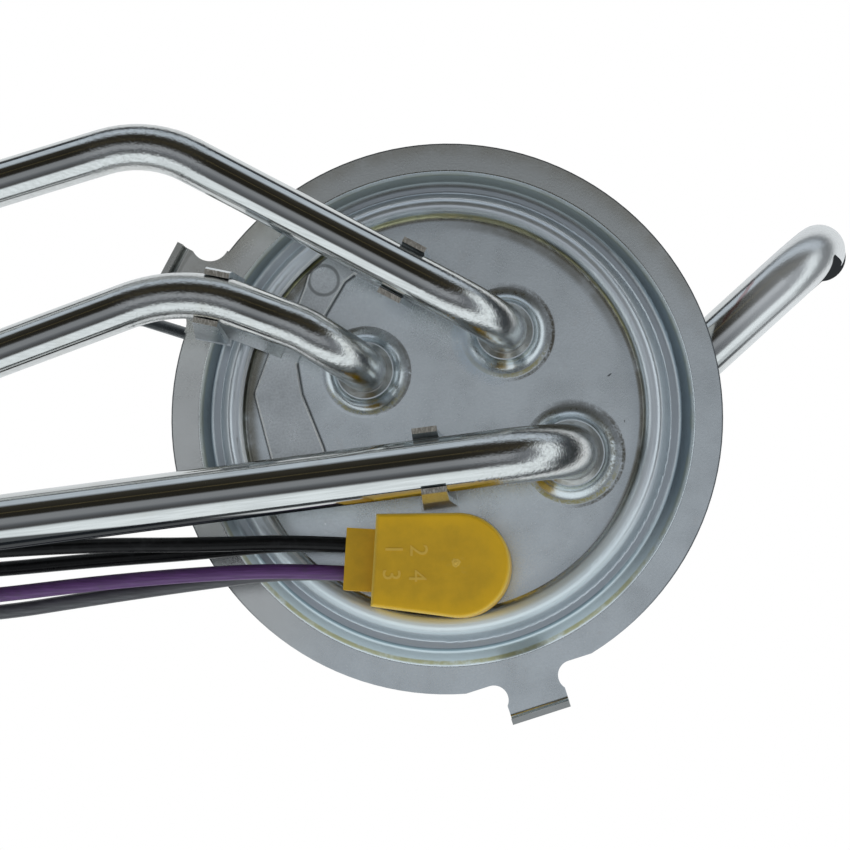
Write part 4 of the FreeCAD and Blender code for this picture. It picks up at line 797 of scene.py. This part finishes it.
FINISHES: dict[str, Finish] = {
    "cover": PlatedSheet("plated cover sheet", (0.72, 0.77, 0.795), 0.25, 1.0, rings=True,
                         tints=COLLAR_LIGHT, tabs=(-72.1, 152.2),
                         flecks=(((28.9, 6.9), 0.55, 35.0), ((31.5, -1.2), 0.3, 70.0))),
    "strap": PlatedSheet("plated strap sheet", (0.56, 0.575, 0.58), 0.33, 1.0),
    "clip": BracketSteel("plated clip strip", (0.70, 0.735, 0.75), 0.30, 1.0),
    "return": DrawnTube("return tube zinc", TUBE_COLOUR, 0.10, 1.0, turn=-20.0,
                        bends=(((-50.3, 46.6, 24.0), 15.0), ((10.7, 14.4, 22.0), 20.0))),
    "vent": DrawnTube("vent tube zinc", TUBE_COLOUR, 0.10, 1.0, turn=-5.0,
                      bends=(((-44.1, 21.2, 24.0), 15.0), ((-16.0, 8.9, 22.0), 19.0))),
    "supply": DrawnTube("supply tube zinc", TUBE_COLOUR, 0.10, 1.0, turn=7.0,
                        bends=(((20.0, -7.2, 22.0), 21.0), ((66.8, 31.4, -13.0), 14.0)),
                        outlet=True),
    "braze": BrazeMetal("braze alloy", (0.52, 0.525, 0.51), 0.34, 1.0),
    "ochre": AmberMoulding("ochre connector", (0.68, 0.40, 0.018), 0.40, specular=0.35),
    # Painted highlight: the raised marks are a lighter ochre, standing in for light on their raised edges.
    "ochre raised": AmberMoulding("ochre raised marks", (0.77, 0.50, 0.075), 0.42, specular=0.35),
    "black plastic": Moulded("black moulding", (0.022, 0.023, 0.024), 0.42),
    "white plastic": Moulded("natural moulding", (0.66, 0.63, 0.54), 0.4),
    "black lead": Insulation("black insulation", (0.006, 0.006, 0.0062), 0.3, specular=0.22),
    "purple lead": Insulation("purple insulation", (0.115, 0.045, 0.165), 0.38),
    "grey lead": Insulation("grey insulation", (0.085, 0.085, 0.092), 0.38),
    "rubber": SoftRubber("black rubber", (0.018, 0.018, 0.019), 0.62),
    "foam": CellFoam("float foam", (0.03, 0.03, 0.031), 0.7),
    "contact": PlatedContact("tinned contact", (0.72, 0.68, 0.55), 0.28, 1.0),
    "card": FiredCard("fired card", (0.72, 0.69, 0.62), 0.35),
    "silver track": PlatedContact("silver track", (0.62, 0.61, 0.57), 0.4, 1.0),
    "wire": PlatedSheet("plated wire", (0.095, 0.105, 0.11), 0.28, 1.0),
    "rivet": PlatedSheet("plated rivet", (0.56, 0.57, 0.58), 0.3, 1.0),
}

WEARERS: dict[str, tuple[str, ...]] = {
    "cover": ("cover_plate",),
    "return": ("return_tube",),
    "vent": ("vent_tube",),
    "supply": ("supply_tube",),
    "braze": ("braze_fillets",),
    "clip": ("tube_bracket",),
    "black plastic": ("port_body", "harness_plug"),
    "rubber": ("port_seal", "harness_seal", "pump_seat"),
    "rivet": ("port_retainer", "sender_rivets", "float_retainers"),
    "contact": ("port_pins", "connector_contacts", "sender_terminals", "wiper"),
    "ochre": ("connector_body",),
    "strap": ("hanger_bracket",),
    "white plastic": ("sender_case", "sender_lid"),
    "card": ("resistor_card",),
    "wire": ("float_arm",),
    "foam": ("float",),
}


class Paintbox:
    """Makes each material once and hands it out."""

    def __init__(self) -> None:
        """Start with no materials."""
        self.made: dict[str, bpy.types.Material] = {}

    def material(self, name: str) -> bpy.types.Material:
        """The material of that name, made on first use."""
        if name not in self.made:
            self.made[name] = FINISHES[name].material()
        return self.made[name]

    def dress(self, node: str, name: str) -> None:
        """Give a CAD node the finish of that name."""
        slots = frame["nodes"][node].data.materials
        slots.clear()
        slots.append(self.material(name))
        log.info("node %s wears %s", node, name)


# Shared making


def metres(point: tuple[float, ...]) -> tuple[float, ...]:
    """Millimetres as metres."""
    return tuple(c * MM for c in point)


def finish_piece(piece: bpy.types.Object, material: bpy.types.Material, body: Body) -> None:
    """Give a new piece its material and body.

    Args:
        piece: the piece, at the origin with its place in its mesh.
        material: its material.
        body: the body that it rides on.
    """
    piece.data.materials.clear()
    piece.data.materials.append(material)
    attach(piece, body.value)
    log.info("piece %s rides on %s", piece.name, body.value)


def link(name: str, data: bpy.types.ID) -> bpy.types.Object:
    """An object for a mesh, curve, light or camera, linked to the scene."""
    piece = bpy.data.objects.new(name, data)
    bpy.context.scene.collection.objects.link(piece)
    return piece


def plain_mesh(source: bpy.types.Object, name: str) -> bpy.types.Object:
    """The evaluated mesh of an object as a piece of its own; the source is removed.

    Args:
        source: the object with modifiers, or a curve or text.
        name: the new piece's name.

    Returns:
        The new piece, at the origin.
    """
    depsgraph = bpy.context.evaluated_depsgraph_get()
    mesh = bpy.data.meshes.new_from_object(source.evaluated_get(depsgraph))
    mesh.transform(source.matrix_world)
    mesh.name = name
    data = source.data
    bpy.data.objects.remove(source)
    if isinstance(data, bpy.types.Mesh):
        bpy.data.meshes.remove(data)
    return link(name, mesh)


class Repeat:
    """A Geometry Nodes tree that sets copies of one block along a line."""

    def __init__(self, name: str, material: bpy.types.Material) -> None:
        """Build the tree with its named inputs.

        Args:
            name: the tree's name.
            material: the material that the copies get.
        """
        self.tree = bpy.data.node_groups.new(name, "GeometryNodeTree")
        self.tree.is_modifier = True
        face = self.tree.interface
        self.ids: dict[str, str] = {}
        for label, kind in (("Count", "Int"), ("Size", "Vector"), ("Step", "Vector"),
                            ("Start", "Vector"), ("Lean", "Float")):
            made = face.new_socket(label, in_out="INPUT", socket_type="NodeSocket" + kind)
            self.ids[label] = made.identifier
        face.new_socket("Geometry", in_out="OUTPUT", socket_type="NodeSocketGeometry")
        add = Recipe(self.tree).node
        given = add("NodeGroupInput").outputs
        line = add("GeometryNodeMeshLine", {"mode": "OFFSET", "count_mode": "TOTAL"},
                   {"Count": given["Count"], "Start Location": given["Start"], "Offset": given["Step"]})
        cube = add("GeometryNodeMeshCube", None, {"Size": given["Size"]})
        index = add("GeometryNodeInputIndex")
        half = add("ShaderNodeMath", {"operation": "MULTIPLY"}, {0: given["Count"], 1: 0.5})
        offset = add("ShaderNodeMath", {"operation": "SUBTRACT"}, {0: index.outputs[0], 1: half.outputs[0]})
        lean = add("ShaderNodeMath", {"operation": "MULTIPLY"}, {0: offset.outputs[0], 1: given["Lean"]})
        turn = add("ShaderNodeCombineXYZ", None, {"Y": lean.outputs[0]})
        copies = add("GeometryNodeInstanceOnPoints", None,
                     {"Points": line.outputs[0], "Instance": cube.outputs[0], "Rotation": turn.outputs[0]})
        real = add("GeometryNodeRealizeInstances", None, {0: copies.outputs[0]})
        painted = add("GeometryNodeSetMaterial", None, {"Geometry": real.outputs[0], "Material": material})
        add("NodeGroupOutput", None, {0: painted.outputs[0]})

    def copies(self, name: str, values: dict[str, object], place: Matrix, bevel: float) -> bpy.types.Object:
        """Run the tree once.

        Args:
            name: the new piece's name.
            values: the tree's inputs by name, in metres.
            place: where the copies stand.
            bevel: the width of the rounded edges, in metres.

        Returns:
            The new piece as a plain mesh.
        """
        carrier = link(name + " carrier", bpy.data.meshes.new(name))
        carrier.matrix_world = place
        made = carrier.modifiers.new("repeat", "NODES")
        made.node_group = self.tree
        for label, value in values.items():
            made[self.ids[label]] = value
        edge = carrier.modifiers.new("edge", "BEVEL")
        edge.width = bevel
        edge.segments = 2
        edge.limit_method = "ANGLE"
        bpy.context.view_layer.update()
        return plain_mesh(carrier, name)


# Pieces


@dataclass
class Lead:
    """One insulated lead from the connector's neck down to the harness plug."""

    node: str
    finish: str
    slot: Slot
    points: tuple[Point, ...]
    leaves: Point
    length: float
    diameter: float = 2.6

    def build(self, paint: Paintbox) -> bpy.types.Object:
        """Make the lead as a smooth spline that stands for its CAD solid.

        Args:
            paint: the materials.

        Returns:
            The lead.
        """
        curve = bpy.data.curves.new(self.node + "_cord", "CURVE")
        curve.dimensions = "3D"
        curve.bevel_depth = self.diameter / 2 * MM
        curve.bevel_resolution = 7
        curve.resolution_u = 14
        curve.use_fill_caps = True
        spline = curve.splines.new("NURBS")
        spline.points.add(len(self.points) - 1)
        for point, (x, y, z) in zip(spline.points, self.points):
            point.co = (x * MM, y * MM, z * MM, 1.0)
        spline.order_u = 3
        spline.use_endpoint_u = True
        spline.use_smooth = True
        piece = link(self.node + "_cord", curve)
        finish_piece(piece, paint.material(self.finish), Body.HANGER)
        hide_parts(self.node)
        metres(self.leaves)
        return piece


@dataclass
class Pigtail:
    """The four leads, in the order in which they leave the neck."""

    leads: tuple[Lead, ...] = (
        Lead("lead_black_upper", "black lead", Slot.BLACK, (
            (-14.342, -23.264, 17.9), (-25.323, -22.612, 17.9), (-42.0, -23.2, 18.2),
            (-60.0, -23.2, 18.6), (-80.0, -24.3, 18.0), (-102.0, -26.0, 13.4),
            (-114.2, -27.2, -4.0), (-116.4, -28.6, -29.0), (-115.9, -28.6, -56.0),
            (-115.25, -27.95, -84.0)), (-16.339, -23.146, 17.9), 188.3),
        Lead("lead_purple", "purple lead", Slot.PURPLE, (
            (-14.633, -28.156, 17.9), (-25.613, -27.503, 17.9), (-42.0, -28.2, 17.8),
            (-60.0, -29.8, 17.4), (-80.0, -32.2, 16.6), (-102.0, -33.8, 11.8),
            (-114.2, -33.8, -5.0), (-116.6, -33.0, -30.0), (-116.0, -31.8, -57.0),
            (-115.25, -32.45, -84.0)), (-16.629, -28.037, 17.9), 186.8),
        Lead("lead_black_lower", "black lead", Slot.BLACK, (
            (-14.342, -23.264, 14.5), (-25.323, -22.612, 14.5), (-42.0, -24.4, 14.8),
            (-60.0, -25.7, 15.0), (-79.0, -27.5, 14.2), (-98.0, -28.4, 9.0),
            (-109.2, -28.6, -8.0), (-111.6, -28.5, -32.0), (-111.3, -27.6, -57.5),
            (-110.75, -27.95, -84.0)), (-16.339, -23.146, 14.5), 179.9),
        Lead("lead_grey", "grey lead", Slot.GREY, (
            (-14.633, -28.156, 14.5), (-25.613, -27.503, 14.5), (-42.0, -29.6, 14.5),
            (-60.0, -32.2, 14.0), (-79.0, -35.2, 13.0), (-98.0, -35.6, 7.6),
            (-109.4, -34.6, -9.0), (-111.8, -33.0, -33.0), (-111.4, -31.8, -58.5),
            (-110.75, -32.45, -84.0)), (-16.629, -28.037, 14.5), 178.8),
    )

    def build(self, paint: Paintbox) -> None:
        """Make the four leads."""
        for lead in self.leads:
            lead.build(paint)


@dataclass
class ConnectorMarks:
    """Raised plain way numbers and the gate mark on the connector's top."""

    top: float = 24.0
    height: float = 3.1
    raised: float = 0.09
    turn: float = -90.0
    digits: tuple[tuple[str, float, float], ...] = (
        ("1", -8.0, -24.1), ("2", -3.75, -24.3), ("3", -8.4, -28.45), ("4", -3.95, -28.65))
    gate: Spot = (2.7, -26.35)
    sprue: float = 0.10
    gate_rings: tuple[Spot, ...] = ((0.16, 0.13), (0.26, 0.04), (0.36, 0.005), (0.5, 0.03),
                                    (0.62, 0.045), (0.74, 0.0), (0.78, -0.05))
    sides: int = 28

    def digit(self, text: str, x: float, y: float) -> bpy.types.Object:
        """One raised digit.

        Args:
            text: the digit.
            x: its middle.
            y: its middle.

        Returns:
            The digit as a plain mesh.
        """
        words = bpy.data.curves.new("way " + text, "FONT")
        words.body = text
        words.size = self.height * 1.4 * MM
        words.extrude = self.raised * MM
        words.align_x = "CENTER"
        words.align_y = "CENTER"
        source = link("way " + text, words)
        source.matrix_world = (Matrix.Translation(Vector((x, y, self.top)) * MM)
                               @ Matrix.Rotation(math.radians(self.turn), 4, "Z"))
        bpy.context.view_layer.update()
        return plain_mesh(source, "way_number_" + text)

    def gate_mark(self) -> bpy.types.Object:
        """The ring and broken-off sprue left where the plastic came in."""
        made = bmesh.new()
        rows = []
        for radius, rise in self.gate_rings:
            row = []
            for step in range(self.sides):
                turn = 2 * math.pi * step / self.sides
                out = radius * (1 + 0.10 * math.sin(3 * turn + 0.7) + 0.06 * math.sin(7 * turn))
                row.append(made.verts.new(metres((
                    self.gate[0] + out * math.cos(turn), self.gate[1] + out * math.sin(turn),
                    self.top + rise))))
            rows.append(row)
        middle = made.verts.new(metres((*self.gate, self.top + self.sprue)))
        for step in range(self.sides):
            ahead = (step + 1) % self.sides
            made.faces.new((middle, rows[0][step], rows[0][ahead]))
            for inner, outer in zip(rows, rows[1:]):
                made.faces.new((inner[step], outer[step], outer[ahead], inner[ahead]))
        made.faces.new(list(reversed(rows[-1])))
        for face in made.faces:
            face.smooth = True
        mesh = bpy.data.meshes.new("gate_mark")
        made.to_mesh(mesh)
        made.free()
        return link("gate_mark", mesh)

    def build(self, paint: Paintbox) -> None:
        """Make the digits and the gate mark."""
        for text, x, y in self.digits:
            finish_piece(self.digit(text, x, y), paint.material("ochre raised"), Body.HANGER)
        finish_piece(self.gate_mark(), paint.material("ochre raised"), Body.HANGER)


@dataclass
class HarnessGrips:
    """Grip ribs on the two broad sides of the harness plug."""

    count: int = 7
    pitch: float = 1.7
    rib: Point = (8.6, 0.7, 0.8)
    middle: Point = (-113.0, -30.2, -94.0)
    half: float = 6.4

    def build(self, paint: Paintbox) -> None:
        """Make the ribs of both sides."""
        material = paint.material("black plastic")
        repeat = Repeat("grip ribs", material)
        for side, name in ((-1, "grip_ribs_front"), (1, "grip_ribs_back")):
            start = (0.0, side * self.half * MM, -self.pitch * (self.count - 1) / 2 * MM)
            ribs = repeat.copies(
                name,
                {"Count": self.count, "Size": metres(self.rib), "Step": (0.0, 0.0, self.pitch * MM),
                 "Start": start, "Lean": 0.0},
                Matrix.Translation(Vector(self.middle) * MM), 0.22 * MM)
            finish_piece(ribs, material, Body.HANGER)


@dataclass
class CardTracks:
    """The printed bars of the resistor card, under the wiper's path."""

    count: int = 34
    pitch: float = 0.6
    bar: Point = (0.28, 0.03, 5.4)
    pivot: Point = (-23.4, 11.2, -60.0)
    turn: float = -20.0
    face: float = 10.6
    height: float = -9.6
    lean: float = 0.7

    def build(self, paint: Paintbox) -> None:
        """Make the bars on the card's face."""
        material = paint.material("silver track")
        repeat = Repeat("card bars", material)
        place = (Matrix.Translation(Vector(self.pivot) * MM)
                 @ Matrix.Rotation(math.radians(self.turn), 4, "Z"))
        start = (-self.pitch * (self.count - 1) / 2 * MM, self.face * MM, self.height * MM)
        bars = repeat.copies(
            "card_bars",
            {"Count": self.count, "Size": metres(self.bar), "Step": (self.pitch * MM, 0.0, 0.0),
             "Start": start, "Lean": math.radians(self.lean)},
            place, 0.005 * MM)
        finish_piece(bars, material, Body.HANGER)


# Studio


@dataclass
class Studio:
    """The pale floor, the soft boxes and what the bright metal mirrors."""

    floor_gap: float = 0.4
    floor_half: float = 2200.0
    sheet_edge: float = 380.0
    sheet_soft: float = 220.0
    sheet_white: Colour = (0.80, 0.83, 0.85)
    sheet_gap: Colour = (0.05, 0.055, 0.06)
    grey: Colour = (0.30, 0.315, 0.335)
    dim: Colour = (0.15, 0.16, 0.175)
    dark: Colour = (0.024, 0.022, 0.017)
    low: Colour = (0.075, 0.077, 0.08)
    white: Colour = (0.55, 0.59, 0.61)
    pale: Colour = (0.33, 0.37, 0.41)
    gap: Colour = (0.04, 0.045, 0.05)
    below: Colour = (0.10, 0.105, 0.11)
    glint: Colour = (0.16, 0.13, 0.06)
    strength: float = 1.6

    def floor(self) -> None:
        """A wide pale floor just under the hanger."""
        low = CAD_BOX[0][2] - self.floor_gap * MM
        half = self.floor_half * MM
        mesh = bpy.data.meshes.new("floor")
        mesh.from_pydata([(-half, -half, low), (half, -half, low), (half, half, low),
                          (-half, half, low)], [], [(0, 1, 2, 3)])
        floor = link("floor", mesh)
        material = bpy.data.materials.new("pale floor")
        material.use_nodes = True
        recipe = Recipe(material.node_tree)
        material.node_tree.nodes.clear()
        path = recipe.node("ShaderNodeLightPath")
        seen = Value(recipe, path.outputs["Is Camera Ray"])
        mirrored = Value(recipe, path.outputs["Is Glossy Ray"]).greater(
            Value(recipe, path.outputs["Is Transmission Ray"]))
        x, y, _ = recipe.xyz
        sheet = recipe.reach(x, y).rise(self.sheet_edge + self.sheet_soft, self.sheet_edge)
        told = recipe.mixed(self.sheet_gap, self.sheet_white, sheet)
        matt = recipe.node("ShaderNodeBsdfDiffuse", None, {"Color": (0.82, 0.82, 0.82, 1.0)})
        glow = recipe.node("ShaderNodeEmission", None,
                           {"Color": recipe.mixed(told, (1.0, 1.0, 1.0), seen), "Strength": 1.0})
        share = (seen * 1.01).greater(mirrored)
        mixed = recipe.node("ShaderNodeMixShader", None,
                            {0: share, 1: matt.outputs[0], 2: glow.outputs[0]})
        under = recipe.node("ShaderNodeNewGeometry").outputs["Backfacing"]
        clear = recipe.node("ShaderNodeBsdfTransparent")
        sided = recipe.node("ShaderNodeMixShader", None,
                            {0: under, 1: mixed.outputs[0], 2: clear.outputs[0]})
        recipe.node("ShaderNodeOutputMaterial", None, {"Surface": sided.outputs[0]})
        mesh.materials.append(material)

    def world(self) -> None:
        """White to the camera; grey ceiling, dark gaps and bright sides to the metal."""
        world = bpy.data.worlds.new("studio")
        world.use_nodes = True
        bpy.context.scene.world = world
        world.node_tree.nodes.clear()
        recipe = Recipe(world.node_tree)
        x, y, z = recipe.parts(Value(recipe, recipe.node("ShaderNodeTexCoord").outputs["Generated"]))
        over = recipe.maths("ARCTAN2", y, z) * (1 / (2 * math.pi)) + 0.5
        tilt = recipe.maths("ARCCOSINE", z) * (1 / math.pi)
        # Degrees from straight up: over the tubes from front to back, and down to each side.
        over_tubes = (
            (-180, self.below), (-112, self.below), (-106, self.dim), (-101, self.dim), (-97, self.white),
            (-42, self.white), (-36, self.low), (-30, self.low), (-20, self.dim), (-10, self.grey),
            (4, self.grey), (12, self.dark), (31, self.dark), (32.5, self.glint), (34, self.dark),
            (60, self.dark), (70, self.pale), (98, self.pale), (106, self.gap), (180, self.below))
        down_sides = (
            (0, self.grey), (14, self.grey), (26, self.dim), (44, self.dim), (54, self.white),
            (72, self.white), (80, self.gap), (100, self.gap), (106, self.below), (180, self.below))
        front = recipe.node("ShaderNodeValToRGB", {
            "stops": [((turn + 180) / 360, tone) for turn, tone in over_tubes]}, {0: over})
        sides = recipe.node("ShaderNodeValToRGB", {
            "stops": [(turn / 180, tone) for turn, tone in down_sides]}, {0: tilt})
        level = recipe.reach(x, y).greater(0.001)
        sideways = (abs(x) / level).rise(0.62, 0.88)
        colour = recipe.mixed(Value(recipe, front.outputs[0]), Value(recipe, sides.outputs[0]), sideways)
        room = recipe.node("ShaderNodeBackground", None, {"Color": colour, "Strength": self.strength})
        white = recipe.node("ShaderNodeBackground", None,
                            {"Color": (1.0, 1.0, 1.0, 1.0), "Strength": 1.0})
        seen = recipe.node("ShaderNodeLightPath").outputs["Is Camera Ray"]
        mixed = recipe.node("ShaderNodeMixShader", None,
                            {0: seen, 1: room.outputs[0], 2: white.outputs[0]})
        recipe.node("ShaderNodeOutputWorld", None, {"Surface": mixed.outputs[0]})

    def lamp(self, name: str, at: Point, aim: Point, sides: tuple[float, float], power: float,
             colour: Colour) -> None:
        """One soft box.

        Args:
            name: its name.
            at: where it stands, in millimetres.
            aim: what it faces.
            sides: its width and height in millimetres.
            power: its power in watts.
            colour: its colour.
        """
        light = bpy.data.lights.new(name, "AREA")
        light.shape = "RECTANGLE"
        light.size, light.size_y = (side * MM for side in sides)
        light.energy = power
        light.color = colour
        lamp = link(name, light)
        lamp.location = metres(at)
        lamp.rotation_euler = (Vector(at) - Vector(aim)).to_track_quat("Z", "Y").to_euler()
        lamp.visible_camera = False
        lamp.visible_glossy = False

    def build(self) -> None:
        """Set up the floor, the world and the lamps."""
        self.floor()
        self.world()
        self.lamp("key box", (60.0, -900.0, 620.0), (0.0, 0.0, 0.0), (1100.0, 480.0), 1.5,
                  (1.0, 0.99, 0.97))
        self.lamp("side box", (900.0, 250.0, 520.0), (0.0, 0.0, 0.0), (420.0, 700.0), 0.9,
                  (0.96, 0.98, 1.0))


@dataclass
class Viewpoint:
    """The photograph's camera: straight over the plate, leaning a little."""

    at: Point = (25.4219, -41.1273, 600.0)
    right: Point = (0.99882286, 0.00160519, -0.04848013)
    up: Point = (0.00160519, 0.9978111, 0.06610927)
    back: Point = (0.04848013, -0.06610927, 0.99663396)
    lens: float = 3392 / 850 * 36

    def build(self) -> None:
        """Make the camera and give it to the scene."""
        data = bpy.data.cameras.new("camera")
        data.sensor_width = 36.0
        data.sensor_fit = "HORIZONTAL"
        data.lens = self.lens
        data.clip_start = 0.01
        data.clip_end = 20.0
        camera = link("camera", data)
        turn = Matrix((self.right, self.up, self.back)).transposed().to_4x4()
        camera.matrix_world = Matrix.Translation(Vector(self.at) * MM) @ turn
        bpy.context.scene.camera = camera


def main() -> None:
    """Build the camera, the leads, the finishes, the details and the studio."""
    logging.basicConfig(level=logging.INFO, format="%(name)s: %(message)s")
    paint = Paintbox()
    Viewpoint().build()
    Pigtail().build(paint)
    for name, nodes in WEARERS.items():
        for node in nodes:
            paint.dress(node, name)
    ConnectorMarks().build(paint)
    HarnessGrips().build(paint)
    CardTracks().build(paint)
    Studio().build()
    bpy.context.scene.view_settings.view_transform = "Standard"


if __name__ == "__main__":
    main()
